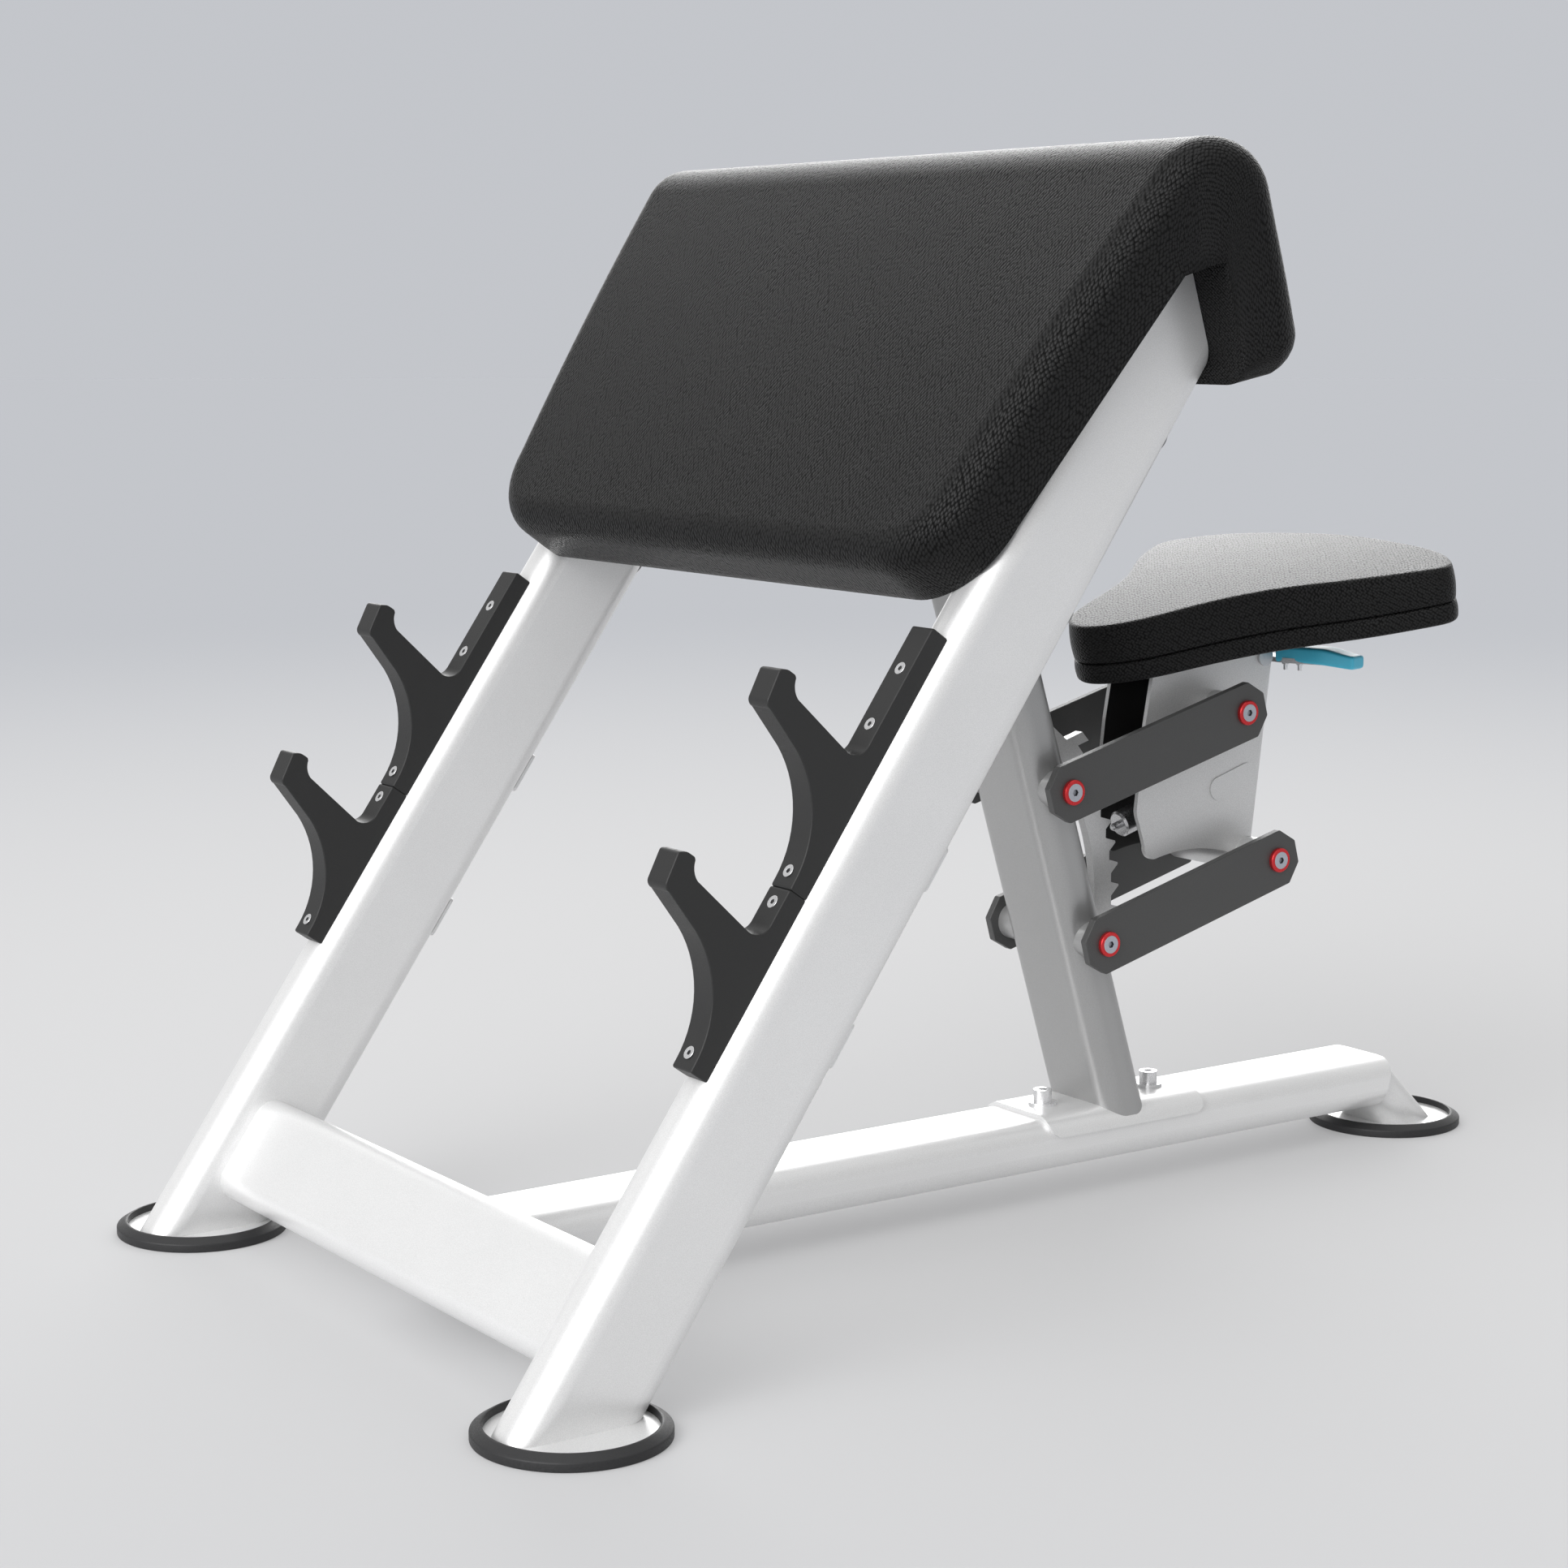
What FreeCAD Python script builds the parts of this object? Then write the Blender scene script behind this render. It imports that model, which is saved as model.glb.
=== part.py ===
import FreeCAD, Part
import math
import os

# Preacher curl bench, in millimetres and degrees.
# X is sideways, Y runs from the arm pad back to the seat, Z is up.
# The origin is on the floor, midway between the front feet and the rear foot.

# Shared frame tube: a flat-sided tube with large round corners.
tube_narrow = 50.0
tube_wide = 100.0
tube_corner = 20.0
tube_wall = 3.0

# Footprint: two feet under the legs and one under the seat end.
foot_reach = 1197.0
front_foot_span = 669.9

# Each foot is a steel disc seated in a rubber ring.
foot_plate_radius = 68.0
foot_plate_thickness = 4.5
ring_outer_radius = 78.0
ring_wall_height = 7.5
ring_lip_height = 12.3
ring_bevel_width = 8.8
ring_floor = 1.5
ring_ledge = 8.0

# Front legs lean back. "Along" is measured up a leg from its foot centre,
# "ahead" is square to the leg, towards the front.
leg_lean = 35.0
leg_span = 657.4
leg_axis_ahead = 3.6
leg_cap_thickness = 3.0

# Tubes that join the legs.
front_cross_along = 86.5
upper_cross_below_post = 8.0

# Base beam, and the short strut that takes it down to the rear foot.
beam_bottom = 29.7
beam_end_ahead_of_foot = 37.5
beam_end_lean = 15.0
beam_end_closing = 4.0
strut_width = 82.0
strut_slope = 45.0
strut_top_behind_foot = 43.5

# Saddle plate over the beam, with the seat post welded on it.
saddle_thickness = 4.0
saddle_length = 195.0
saddle_flap_drop = 19.5
saddle_flap_corner = 14.0
saddle_bolt_spacing = 135.0
saddle_bolt_head_radius = 9.0
saddle_bolt_head_height = 12.0
saddle_bolt_radius = 6.0
saddle_bolt_length = 30.0
saddle_washer_radius = 14.0
saddle_washer_thickness = 3.0
hex_socket_across = 8.0
hex_socket_depth = 5.0

# Seat post: leans forward from the beam to the upper cross tube.
post_lean = 17.2
post_behind_front_feet = 824.9

# Parallelogram that carries the seat.
lower_pivot_up_post = 264.7
pivot_spacing = 156.0
link_length = 225.0
link_rise = 15.3
link_width = 56.0
link_overhang = 25.5
link_chamfer = 16.5
link_thickness = 8.0
link_inner_x = 68.5
pivot_bar_radius = 17.5
pivot_bush_radius = 9.0
pivot_clearance = 0.05
link_side_gap = 0.1
pivot_washer_radius = 12.0
pivot_washer_thickness = 4.0
pivot_washer_chamfer = 0.8
pivot_bolt_head_radius = 7.75
pivot_bolt_head_height = 3.0
pivot_bolt_radius = 4.0
pivot_bolt_grip = 26.0
pivot_socket_across = 6.0
pivot_socket_depth = 2.0

# Notched sector behind the post. Its teeth keep one direction, because the
# seat carriage does not turn as it swings up.
sector_thickness = 10.0
sector_step = 5.7
notch_count_below = 4
notch_count_above = 3
tooth_clearance = 2.5
tooth_height = 9.6
tooth_cut = 24.0
gap_root_height = 8.8
tooth_under_slope = 45.0
tooth_top_slope = 17.0
sector_bar_width = 21.0
sector_lower_overrun = 0.75
sector_upper_overrun = 1.5
sector_lower_reach = 30.0
sector_lower_drop = 12.0
sector_lower_lap = 1.0
sector_lower_root = 6.0
sector_upper_reach = 26.0
sector_upper_lap = 2.3
sector_upper_root = 8.0
sector_bridge_length = 80.0
sector_bridge_slope = 39.5
stop_lug_length = 17.0
stop_lug_height = 10.7
stop_lug_rise = 17.0
stop_lug_bevel = 5.0
stop_lug_inset = 3.0
stop_lug_valley = 8.5

# Seat carriage: a channel bent from plate, open to the front.
carriage_width = 64.0
carriage_plate = 5.0
carriage_bend = 8.0
carriage_front_behind = 118.0
carriage_back_lean = 7.2
carriage_back_behind_pivot = 7.0
carriage_below_pivot = 4.0
carriage_over_pivots = 150.0
carriage_pivot_cover = 7.0
carriage_window_below_lever = 20.0
carriage_wall_bottom = 30.0

# Edge of the carriage's side plates, from the top down the front and along the
# bottom. "Back" is from the front line; "rise" and "drop" of the upper points are
# from the upper pivot, those of the foot and the arch from the bottom line.
carriage_top_back = 45.0
carriage_brow_back = 36.0
carriage_brow_rise = 34.0
carriage_cheek_back = 28.0
carriage_cheek_drop = 10.0
carriage_nose_back = 18.5
carriage_nose_drop = 93.0
carriage_nose_bend_back = 20.0
carriage_nose_bend_drop = 101.0
carriage_lip_back = 22.0
carriage_lip_drop = 106.0
carriage_chin_back = 29.5
carriage_chin_drop = 129.0
carriage_foot_bend_back = 34.5
carriage_foot_bend_rise = 4.5
carriage_foot_back = 43.0
carriage_foot_rise = 2.5
carriage_arch_back = 98.0
carriage_arch_rise = 7.5
carriage_heel_back = 140.0

# Spring plunger on the carriage.
plunger_rise = 17.2
pin_radius = 3.75
pin_travel = 9.0
pin_tip_chamfer = 1.5
barrel_radius = 13.0
barrel_ahead_of_pivot = 95.0
barrel_below_pivot = 111.3
barrel_start = 8.8
barrel_length = 66.0
barrel_neck_radius = 9.0
barrel_clearance = 0.05
barrel_nose_chamfer = 2.0
chamber_behind_nose = 14.0
chamber_end_wall = 6.0
block_centre = 132.9
block_length = 60.0
block_height = 23.0
block_stand_out = 1.5
block_bar_length = 17.0
block_pocket_half = 15.0
block_pocket_wall = 2.0
collar_radius = 12.0
collar_length = 5.0
collar_first = 133.0
collar_gap = 7.5
pin_tail = 2.0
pin_flange_radius = 8.0
pin_flange_length = 3.0
pin_flange_gap = 2.0
spring_clearance = 1.2

# Release lever: a crank on a cross shaft, and a flat handle with a moulded grip.
lever_behind_pivot = 63.0
lever_above_pivot = 46.7
lever_shaft_radius = 6.0
lever_shaft_head_radius = 9.0
lever_shaft_head = 3.0
lever_sleeve_radius = 10.0
lever_sleeve_half = 26.0
lever_clearance = 0.06
lever_arm_inner = 5.0
lever_arm_thickness = 4.0
lever_arm_width = 16.0
lever_finger_width = 5.5
lever_finger_past = 12.0
lever_finger_root = 3.0
lever_arm_root = 11.0
handle_thickness = 5.0
handle_drop = 7.0
handle_width = 22.0
handle_root_half = 13.0
handle_behind = 20.0
handle_straight = 40.0
handle_turned = 38.0
handle_turn = 23.0
grip_start = 24.0
grip_length = 84.0
grip_width = 28.0
grip_root_height = 9.0
grip_top_height = 11.5
grip_droop = 6.0
grip_ahead_of_middle = 4.0
grip_turn_share = 0.75
grip_past_handle = 6.0
grip_step = 2.0
grip_tip_flat = 6.0
grip_tip_bend = 2.0
grip_tip_back = 1.0
grip_tip_height = 7.0
grip_slope_start = 34.0
grip_slope_middle = 16.0
grip_slope_drop = 3.0
grip_root_run = 8.0
grip_root_bend = 2.0
grip_root_corner = 6.0
grip_screw_radius = 2.5
grip_screw_head_radius = 4.0
grip_screw_head = 2.5
grip_screw_first = 27.0
grip_screw_spacing = 16.0
grip_screw_bite = 6.0

# Seat: a padded board with a cushion on it, tilted nose down.
seat_nose_ahead_of_pivot = 156.0
seat_nose_above_pivot = 86.2
seat_tilt = 12.0
seat_cushion_thickness = 40.0
seat_board_thickness = 20.0
seat_length = 362.0
seat_widest_half = 203.0
seat_nose_start_share = 0.0193
seat_nose_share = 0.083
seat_nose_half_share = 0.202
seat_waist_share = 0.2486
seat_waist_half_share = 0.345
seat_hip_share = 0.464
seat_hip_half_share = 0.552
seat_flank_share = 0.605
seat_flank_half_share = 0.7734
seat_corner_share = 0.754
seat_corner_half_share = 0.9557
seat_rear_corner_share = 0.8867
seat_rear_half_share = 0.9163
seat_rear_bow_share = 0.025
seat_middle_share = 0.55
seat_crown = 3.0
seat_crown_radius = 3200.0
seat_crown_room = 20.0
seat_top_round = 9.0
seat_groove_round = 5.0
seat_mount_front = 80.0
seat_mount_rear = 238.0
seat_mount_thickness = 5.0
seat_bolt_side = 18.0
seat_bolt_spacing = 110.0
seat_bolt_ahead_of_middle = 8.0
seat_bolt_radius = 4.0
seat_bolt_head_radius = 7.0
seat_bolt_head = 5.0
seat_bolt_depth = 14.0

# Barbell hooks on the leg fronts. The notch is measured from its floor.
hook_thickness = 27.0
hook_stem = 16.0
hook_upper_notch = 557.6
hook_lower_notch = 396.1
hook_upper_stem = 123.4
hook_lower_stem = 45.9
hook_tail = 115.6
hook_notch_radius = 14.0
hook_arm_reach = 94.0
hook_arm_rise = 9.8
hook_tip_reach = 122.5
hook_tip_height = 24.0
hook_lip_reach = 105.0
hook_lip_bend_reach = 7.0
hook_lip_bend_rise = 4.7
hook_lip_bevel = 2.0
hook_tip_slope = 7.0
hook_tip_slope_drop = 4.0
hook_tip_low = 9.8
hook_chin_lean = 3.5
hook_chin_height = 6.0
hook_chin_bend_back = 5.6
hook_chin_bend_rise = 1.6
hook_chin_back = 10.5
hook_belly_start = 73.5
hook_belly_drop = 23.0
hook_belly_end = 110.0
hook_belly_middle = 57.8
hook_belly_out = 15.5
hook_saddle_depth = 9.0
hook_screw_radius = 5.5
hook_screw_shank = 3.0
hook_screw_sink = 3.0
hook_screw_length = 22.0
hook_screw_top = 39.0
hook_screw_notch = 33.0
hook_screw_tail = 14.4
hook_socket_across = 3.5
hook_socket_depth = 2.0

# Small cover plates on the leg backs.
cover_length = 41.0
cover_width = 22.0
cover_thickness = 3.0
cover_corner = 4.0
cover_upper_along = 525.5
cover_lower_along = 364.5

# Arm pad: a padded slab on the leg fronts with a flange over their top ends.
pad_bottom_along = 711.0
pad_bottom_half = 345.0
pad_taper = 8.5
pad_corner = 76.0
pad_slab_thickness = 63.5
pad_crown = 4.0
pad_notch_along = 1061.0
pad_notch_width = 26.4
pad_flange_lean = 17.2
pad_flange_spread = 4.0
pad_flange_length = 105.0
pad_flange_thickness = 73.5
pad_ridge_round = 60.0
pad_flange_corner = 38.0
pad_edge_round = 26.0
pad_seat_gap = 0.3
pad_board_thickness = 15.0
pad_board_inset = 10.0
pad_board_corner = 66.0
pad_board_length = 292.0
pad_bolt_upper_along = 932.5
pad_bolt_lower_along = 762.0
pad_bolt_radius = 5.0
pad_bolt_head_radius = 13.0
pad_bolt_head_height = 5.0
pad_bolt_bite = 12.0

Vec = FreeCAD.Vector
ALONG_X = Vec(1, 0, 0)
BIG = 4000.0
cut_room = 60.0


def turn_x(angle):
    return FreeCAD.Rotation(ALONG_X, angle)


def pose(base, angle):
    return FreeCAD.Placement(base, turn_x(angle))


def put(shape, place):
    moved = shape.copy()
    moved.Placement = place.multiply(moved.Placement)
    return moved


def mirrored(shape):
    return shape.mirror(Vec(0, 0, 0), ALONG_X)


def side_point(y, z):
    return Vec(0, y, z)


def plan_point(x, y):
    return Vec(x, y, 0)


def outline(point, start, *steps):
    """Closed face. A step of two numbers is a line, one of four an arc through a point."""
    edges = []
    here = point(*start)
    for step in steps:
        end = point(*step[-2:])
        if len(step) == 2:
            edges.append(Part.makeLine(here, end))
        else:
            edges.append(Part.Arc(here, point(*step[:2]), end).toShape())
        here = end
    if here.distanceToPoint(point(*start)) > 1e-6:
        edges.append(Part.makeLine(here, point(*start)))
    return Part.Face(Part.Wire(edges))


def across(face, half):
    """Side outline made solid from -half to +half in X."""
    low = face.copy()
    low.translate(Vec(-half, 0, 0))
    return low.extrude(Vec(2 * half, 0, 0))


def between(face, x0, x1):
    low = face.copy()
    low.translate(Vec(x0, 0, 0))
    return low.extrude(Vec(x1 - x0, 0, 0))


def rounded_bar(width, depth, corner, length):
    """Bar along local Z with a rounded rectangular section centred on it."""
    w = width / 2
    d = depth / 2
    k = corner * (1 - math.sqrt(0.5))
    face = outline(
        plan_point,
        (-w + corner, -d),
        (w - corner, -d),
        (w - k, -d + k, w, -d + corner),
        (w, d - corner),
        (w - k, d - k, w - corner, d),
        (-w + corner, d),
        (-w + k, d - k, -w, d - corner),
        (-w, -d + corner),
        (-w + k, -d + k, -w + corner, -d),
    )
    return face.extrude(Vec(0, 0, length))


def frame_bar(length, width=tube_narrow, depth=tube_wide):
    return rounded_bar(width, depth, tube_corner, length)


def frame_core(length, width=tube_narrow, depth=tube_wide):
    cut = 2 * tube_wall
    return rounded_bar(width - cut, depth - cut, tube_corner - tube_wall, length)


def rod_x(radius, x0, x1, y=0.0, z=0.0):
    return Part.makeCylinder(radius, x1 - x0, Vec(x0, y, z), ALONG_X)


def beyond(point, angle):
    """Everything on the upper side of a plane that is level at angle 0 and turns about X."""
    block = Part.makeBox(BIG, BIG, BIG, Vec(-BIG / 2, -BIG / 2, 0))
    return put(block, pose(point, angle))


def hexagon(across_flats, depth):
    points = []
    radius = across_flats / math.sqrt(3)
    for k in range(7):
        a = math.radians(60 * k)
        points.append(Vec(radius * math.cos(a), radius * math.sin(a), 0))
    return Part.Face(Part.makePolygon(points)).extrude(Vec(0, 0, depth))


def edges_at(shape, y, z, tol=0.5):
    """Edges along X that pass through a point of the side view."""
    found = []
    for edge in shape.Edges:
        spots = [v.Point for v in edge.Vertexes]
        if spots and all(math.hypot(p.y - y, p.z - z) < tol for p in spots):
            found.append(edge)
    return found


os.makedirs("parts", exist_ok=True)


def save(name, shape):
    solids = shape.Solids
    whole = solids[0] if len(solids) == 1 else Part.makeCompound(solids)
    whole.exportStep("parts/" + name + ".step")


# Feet.
half_reach = foot_reach / 2
foot_plate_top = ring_floor + foot_plate_thickness
foot_spots = {
    "left": Vec(front_foot_span / 2, -half_reach, 0),
    "right": Vec(-front_foot_span / 2, -half_reach, 0),
    "rear": Vec(0, half_reach, 0),
}
ring_lip_radius = ring_outer_radius - ring_bevel_width


def foot_ring():
    inner = foot_plate_radius
    face = outline(
        lambda r, z: Vec(r, 0, z),
        (inner - ring_ledge, 0),
        (ring_outer_radius, 0),
        (ring_outer_radius, ring_wall_height),
        (ring_lip_radius, ring_lip_height),
        (inner, ring_lip_height),
        (inner, ring_floor),
        (inner - ring_ledge, ring_floor),
    )
    return face.revolve(Vec(0, 0, 0), Vec(0, 0, 1), 360)


def foot_plate():
    return Part.makeCylinder(foot_plate_radius, foot_plate_thickness, Vec(0, 0, ring_floor))


for side, spot in foot_spots.items():
    spot_pose = FreeCAD.Placement(spot, FreeCAD.Rotation())
    save(side + "_foot_ring", put(foot_ring(), spot_pose))
    save(side + "_foot_plate", put(foot_plate(), spot_pose))

# Places of the legs, the post and the arm pad, which the other pieces are fitted to.
leg_pose = pose(Vec(0, -half_reach, 0), -leg_lean)
leg_x = leg_span / 2
leg_inner_x = leg_x - tube_narrow / 2
leg_axis_n = -leg_axis_ahead
leg_front_n = leg_axis_n - tube_wide / 2
leg_back_n = leg_axis_n + tube_wide / 2
cross_back_n = leg_axis_n + tube_narrow / 2
flange_out = Vec(0, math.cos(math.radians(pad_flange_lean)), math.sin(math.radians(pad_flange_lean)))
flange_down = Vec(0, math.sin(math.radians(pad_flange_lean)), -math.cos(math.radians(pad_flange_lean)))
notch_corner = leg_pose.multVec(Vec(0, leg_front_n + pad_notch_width, pad_notch_along))
post_floor_y = post_behind_front_feet - half_reach
post_pose = pose(Vec(0, post_floor_y, 0), post_lean)


def in_leg(shape):
    return put(shape, leg_pose)


def in_post(shape):
    return put(shape, post_pose)


# Front legs: cut level on the foot plates, and shaped at the top to the arm pad's notch.
leg_length = pad_notch_along + tube_wide
leg_bar = frame_bar(leg_length + tube_wide)
leg_core = frame_core(leg_length + tube_wide)
leg_start = Vec(leg_x, leg_axis_n, -tube_wide)
leg_bar.translate(leg_start)
leg_core.translate(leg_start)
below_plate = Part.makeBox(BIG, BIG, BIG, Vec(-BIG / 2, -BIG / 2, foot_plate_top - BIG))
cap_end = notch_corner - flange_out * pad_seat_gap
leg_end = cap_end - flange_out * leg_cap_thickness
roof_spot = notch_corner + flange_down * pad_seat_gap
above_roof = beyond(roof_spot, pad_flange_lean)
behind_leg = beyond(leg_end, pad_flange_lean - 90)
behind_cap = beyond(cap_end, pad_flange_lean - 90)
leg_solid = in_leg(leg_bar)
leg_hollow = in_leg(leg_core)
bolt_rows = (pad_bolt_upper_along, pad_bolt_lower_along)
bolt_shank = leg_back_n - leg_front_n + pad_bolt_bite
pad_bolts = []
pad_bolt_ways = []
for along in bolt_rows:
    shank = Part.makeCylinder(
        pad_bolt_radius, bolt_shank, Vec(leg_x, leg_front_n - pad_bolt_bite, along), Vec(0, 1, 0)
    )
    dome_radius = (pad_bolt_head_radius ** 2 + pad_bolt_head_height ** 2) / (2 * pad_bolt_head_height)
    dome_centre = Vec(leg_x, leg_back_n + pad_bolt_head_height - dome_radius, along)
    dome = Part.makeSphere(dome_radius, dome_centre)
    head_way = Part.makeCylinder(
        pad_bolt_head_radius, pad_bolt_head_height, Vec(leg_x, leg_back_n, along), Vec(0, 1, 0)
    )
    head = dome.common(head_way)
    pad_bolts.append(in_leg(head.fuse(shank).removeSplitter()))
    pad_bolt_ways.append(in_leg(shank))
left_leg = leg_solid.cut(leg_hollow).cut(below_plate).cut(above_roof).cut(behind_leg)
for way in pad_bolt_ways:
    left_leg = left_leg.cut(way)
left_cap = leg_solid.cut(above_roof).cut(behind_cap).common(behind_leg)
save("left_leg_cap", left_cap)
save("right_leg_cap", mirrored(left_cap))
save("arm_pad_bolts", Part.makeCompound(pad_bolts + [mirrored(b) for b in pad_bolts]))


# Cross tubes, from leg to leg.
def cross_tube(along):
    length = 2 * leg_inner_x
    turn = FreeCAD.Placement(Vec(-leg_inner_x, leg_axis_n, along), FreeCAD.Rotation(Vec(0, 1, 0), 90))
    bar = frame_bar(length, tube_wide, tube_narrow)
    core = frame_core(length, tube_wide, tube_narrow)
    return in_leg(put(bar.cut(core), turn))


post_root = leg_pose.inverse().multVec(post_pose.multVec(Vec(0, 0, 0)))
post_dir = leg_pose.inverse().Rotation.multVec(post_pose.Rotation.multVec(Vec(0, 0, 1)))
post_length = (cross_back_n - post_root.y) / post_dir.y
post_meets_along = post_root.z + post_dir.z * post_length
upper_cross_along = post_meets_along - upper_cross_below_post
save("front_cross_tube", cross_tube(front_cross_along))
save("upper_cross_tube", cross_tube(upper_cross_along))

# Base beam, from the front cross tube's back face to its own slanted rear end.
beam_top = beam_bottom + tube_narrow
beam_middle = beam_bottom + tube_narrow / 2
beam_rear_end = half_reach - beam_end_ahead_of_foot
behind_cross = put(Part.makeBox(BIG, BIG, BIG, Vec(-BIG / 2, cross_back_n - BIG, -BIG / 2)), leg_pose)
beam_turn = FreeCAD.Placement(Vec(0, -half_reach, beam_middle), turn_x(-90))
beam_end = beyond(Vec(0, beam_rear_end, beam_top), -90 - beam_end_lean)
beam_inner_end = beyond(Vec(0, beam_rear_end - beam_end_closing, beam_top), -90 - beam_end_lean)
beam_bar = put(frame_bar(foot_reach, tube_wide, tube_narrow), beam_turn)
beam_core = put(frame_core(foot_reach, tube_wide, tube_narrow), beam_turn)
beam_solid = beam_bar.cut(behind_cross).cut(beam_end)
beam_hollow = beam_core.cut(beam_inner_end)
saddle_middle = post_floor_y - (beam_top + saddle_thickness) * math.tan(math.radians(post_lean))
saddle_bolt_y = [saddle_middle - saddle_bolt_spacing / 2, saddle_middle + saddle_bolt_spacing / 2]
saddle_top = beam_top + saddle_thickness
saddle_bolts = []
saddle_washers = []
for y in saddle_bolt_y:
    head_z = saddle_top + saddle_washer_thickness
    washer = Part.makeCylinder(saddle_washer_radius, saddle_washer_thickness, Vec(0, y, saddle_top))
    shank_low = Vec(0, y, head_z - saddle_bolt_length)
    shank = Part.makeCylinder(saddle_bolt_radius, saddle_bolt_length, shank_low)
    head = Part.makeCylinder(saddle_bolt_head_radius, saddle_bolt_head_height, Vec(0, y, head_z))
    socket = hexagon(hex_socket_across, hex_socket_depth)
    socket.translate(Vec(0, y, head_z + saddle_bolt_head_height - hex_socket_depth))
    saddle_bolts.append(head.fuse(shank).removeSplitter().cut(socket))
    saddle_washers.append(washer.cut(shank))
beam = beam_solid.cut(beam_hollow)
for bolt in saddle_bolts:
    beam = beam.cut(bolt)
save("base_beam", beam)
save("saddle_bolts", Part.makeCompound(saddle_bolts))
save("saddle_washers", Part.makeCompound(saddle_washers))

# Rear strut: the same kind of tube, cut to the beam's end and to the foot plate.
strut_half_on_floor = tube_narrow / 2 / math.sin(math.radians(strut_slope))
strut_axis_y = half_reach + strut_top_behind_foot - strut_half_on_floor
strut_line = pose(Vec(0, strut_axis_y, 0), 90 - strut_slope)
strut_bar = frame_bar(tube_wide * 2, strut_width, tube_narrow)
strut_core = frame_core(tube_wide * 2, strut_width, tube_narrow)
strut_bar.translate(Vec(0, 0, -tube_wide))
strut_core.translate(Vec(0, 0, -tube_wide))
strut = put(strut_bar.cut(strut_core), strut_line).cut(below_plate)
beam_way = put(frame_bar(foot_reach, tube_wide, tube_narrow), beam_turn).cut(beam_end)
strut = strut.cut(beam_way).cut(beyond(Vec(0, 0, beam_top), 0))
strut_pieces = sorted(strut.Solids, key=lambda s: s.CenterOfMass.y)
save("rear_strut", strut_pieces[-1])

# Saddle plate: wraps the beam's top and its upper corners.
wrap = 2 * saddle_thickness
saddle_corner = tube_corner + saddle_thickness
saddle_bar = rounded_bar(tube_wide + wrap, tube_narrow + wrap, saddle_corner, saddle_length)
saddle_line = FreeCAD.Placement(Vec(0, saddle_middle - saddle_length / 2, beam_middle), turn_x(-90))
saddle_way = put(saddle_bar, saddle_line)
saddle_shell = saddle_way.cut(put(frame_bar(saddle_length, tube_wide, tube_narrow), saddle_line))
flap_low = saddle_top - saddle_flap_drop
y0 = saddle_middle - saddle_length / 2
y1 = saddle_middle + saddle_length / 2
c = saddle_flap_corner
k = c * (1 - math.sqrt(0.5))
saddle_side = outline(
    side_point,
    (y0, saddle_top + saddle_thickness),
    (y0, flap_low + c),
    (y0 + k, flap_low + k, y0 + c, flap_low),
    (y1 - c, flap_low),
    (y1 - k, flap_low + k, y1, flap_low + c),
    (y1, saddle_top + saddle_thickness),
)
saddle = saddle_shell.common(across(saddle_side, tube_wide))
for bolt in saddle_bolts:
    saddle = saddle.cut(bolt)
save("saddle_plate", saddle)

# Seat post, with two pivot bars through it.
pivot_low = post_pose.multVec(Vec(0, 0, lower_pivot_up_post))
pivot_high = post_pose.multVec(Vec(0, 0, lower_pivot_up_post + pivot_spacing))
link_step = Vec(
    0, link_length * math.cos(math.radians(link_rise)), link_length * math.sin(math.radians(link_rise))
)
seat_pivot_low = pivot_low + link_step
seat_pivot_high = pivot_high + link_step
bar_end_x = link_inner_x - link_side_gap
post_solid = in_post(frame_bar(post_length + tube_wide, tube_wide, tube_narrow))
post_hollow = in_post(frame_core(post_length + tube_wide, tube_wide, tube_narrow))
below_saddle = Part.makeBox(BIG, BIG, BIG, Vec(-BIG / 2, -BIG / 2, beam_middle - BIG))
post = post_solid.cut(post_hollow).cut(below_saddle).cut(saddle_way).cut(behind_cross)
for spot in (pivot_low, pivot_high):
    post = post.cut(rod_x(pivot_bar_radius, -bar_end_x, bar_end_x, spot.y, spot.z))
save("seat_post", post)


def pivot_bar(spot, half):
    bar = rod_x(pivot_bar_radius, -half, half, spot.y, spot.z)
    for x0 in (-half, half - pivot_bolt_grip):
        bar = bar.cut(rod_x(pivot_bolt_radius, x0, x0 + pivot_bolt_grip, spot.y, spot.z))
    return bar


save("upper_post_pivot", pivot_bar(pivot_high, bar_end_x))
save("lower_post_pivot", pivot_bar(pivot_low, bar_end_x))

# Pivot hardware: a bush in each link eye, a red washer over it and a flush bolt.
washer_x = link_inner_x + link_thickness + link_side_gap
bolt_face_x = washer_x + pivot_washer_thickness


def pivot_set(spot):
    bush = rod_x(pivot_bush_radius, bar_end_x, washer_x, spot.y, spot.z)
    shank = rod_x(pivot_bolt_radius, bar_end_x - pivot_bolt_grip, bolt_face_x, spot.y, spot.z)
    head_x = bolt_face_x - pivot_bolt_head_height
    head = rod_x(pivot_bolt_head_radius, head_x, bolt_face_x, spot.y, spot.z)
    washer = rod_x(pivot_washer_radius, washer_x, bolt_face_x, spot.y, spot.z)
    rim = [e for e in washer.Edges if e.Length > 1 and abs(e.CenterOfMass.x - bolt_face_x) < 0.1]
    washer = washer.makeChamfer(pivot_washer_chamfer, rim)
    socket = hexagon(pivot_socket_across, pivot_socket_depth)
    socket = put(socket, FreeCAD.Placement(
        Vec(bolt_face_x - pivot_socket_depth, spot.y, spot.z), FreeCAD.Rotation(Vec(0, 1, 0), 90)
    ))
    bolt = head.fuse(shank).removeSplitter()
    return bush.cut(bolt), washer.cut(bolt), bolt.cut(socket)


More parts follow.
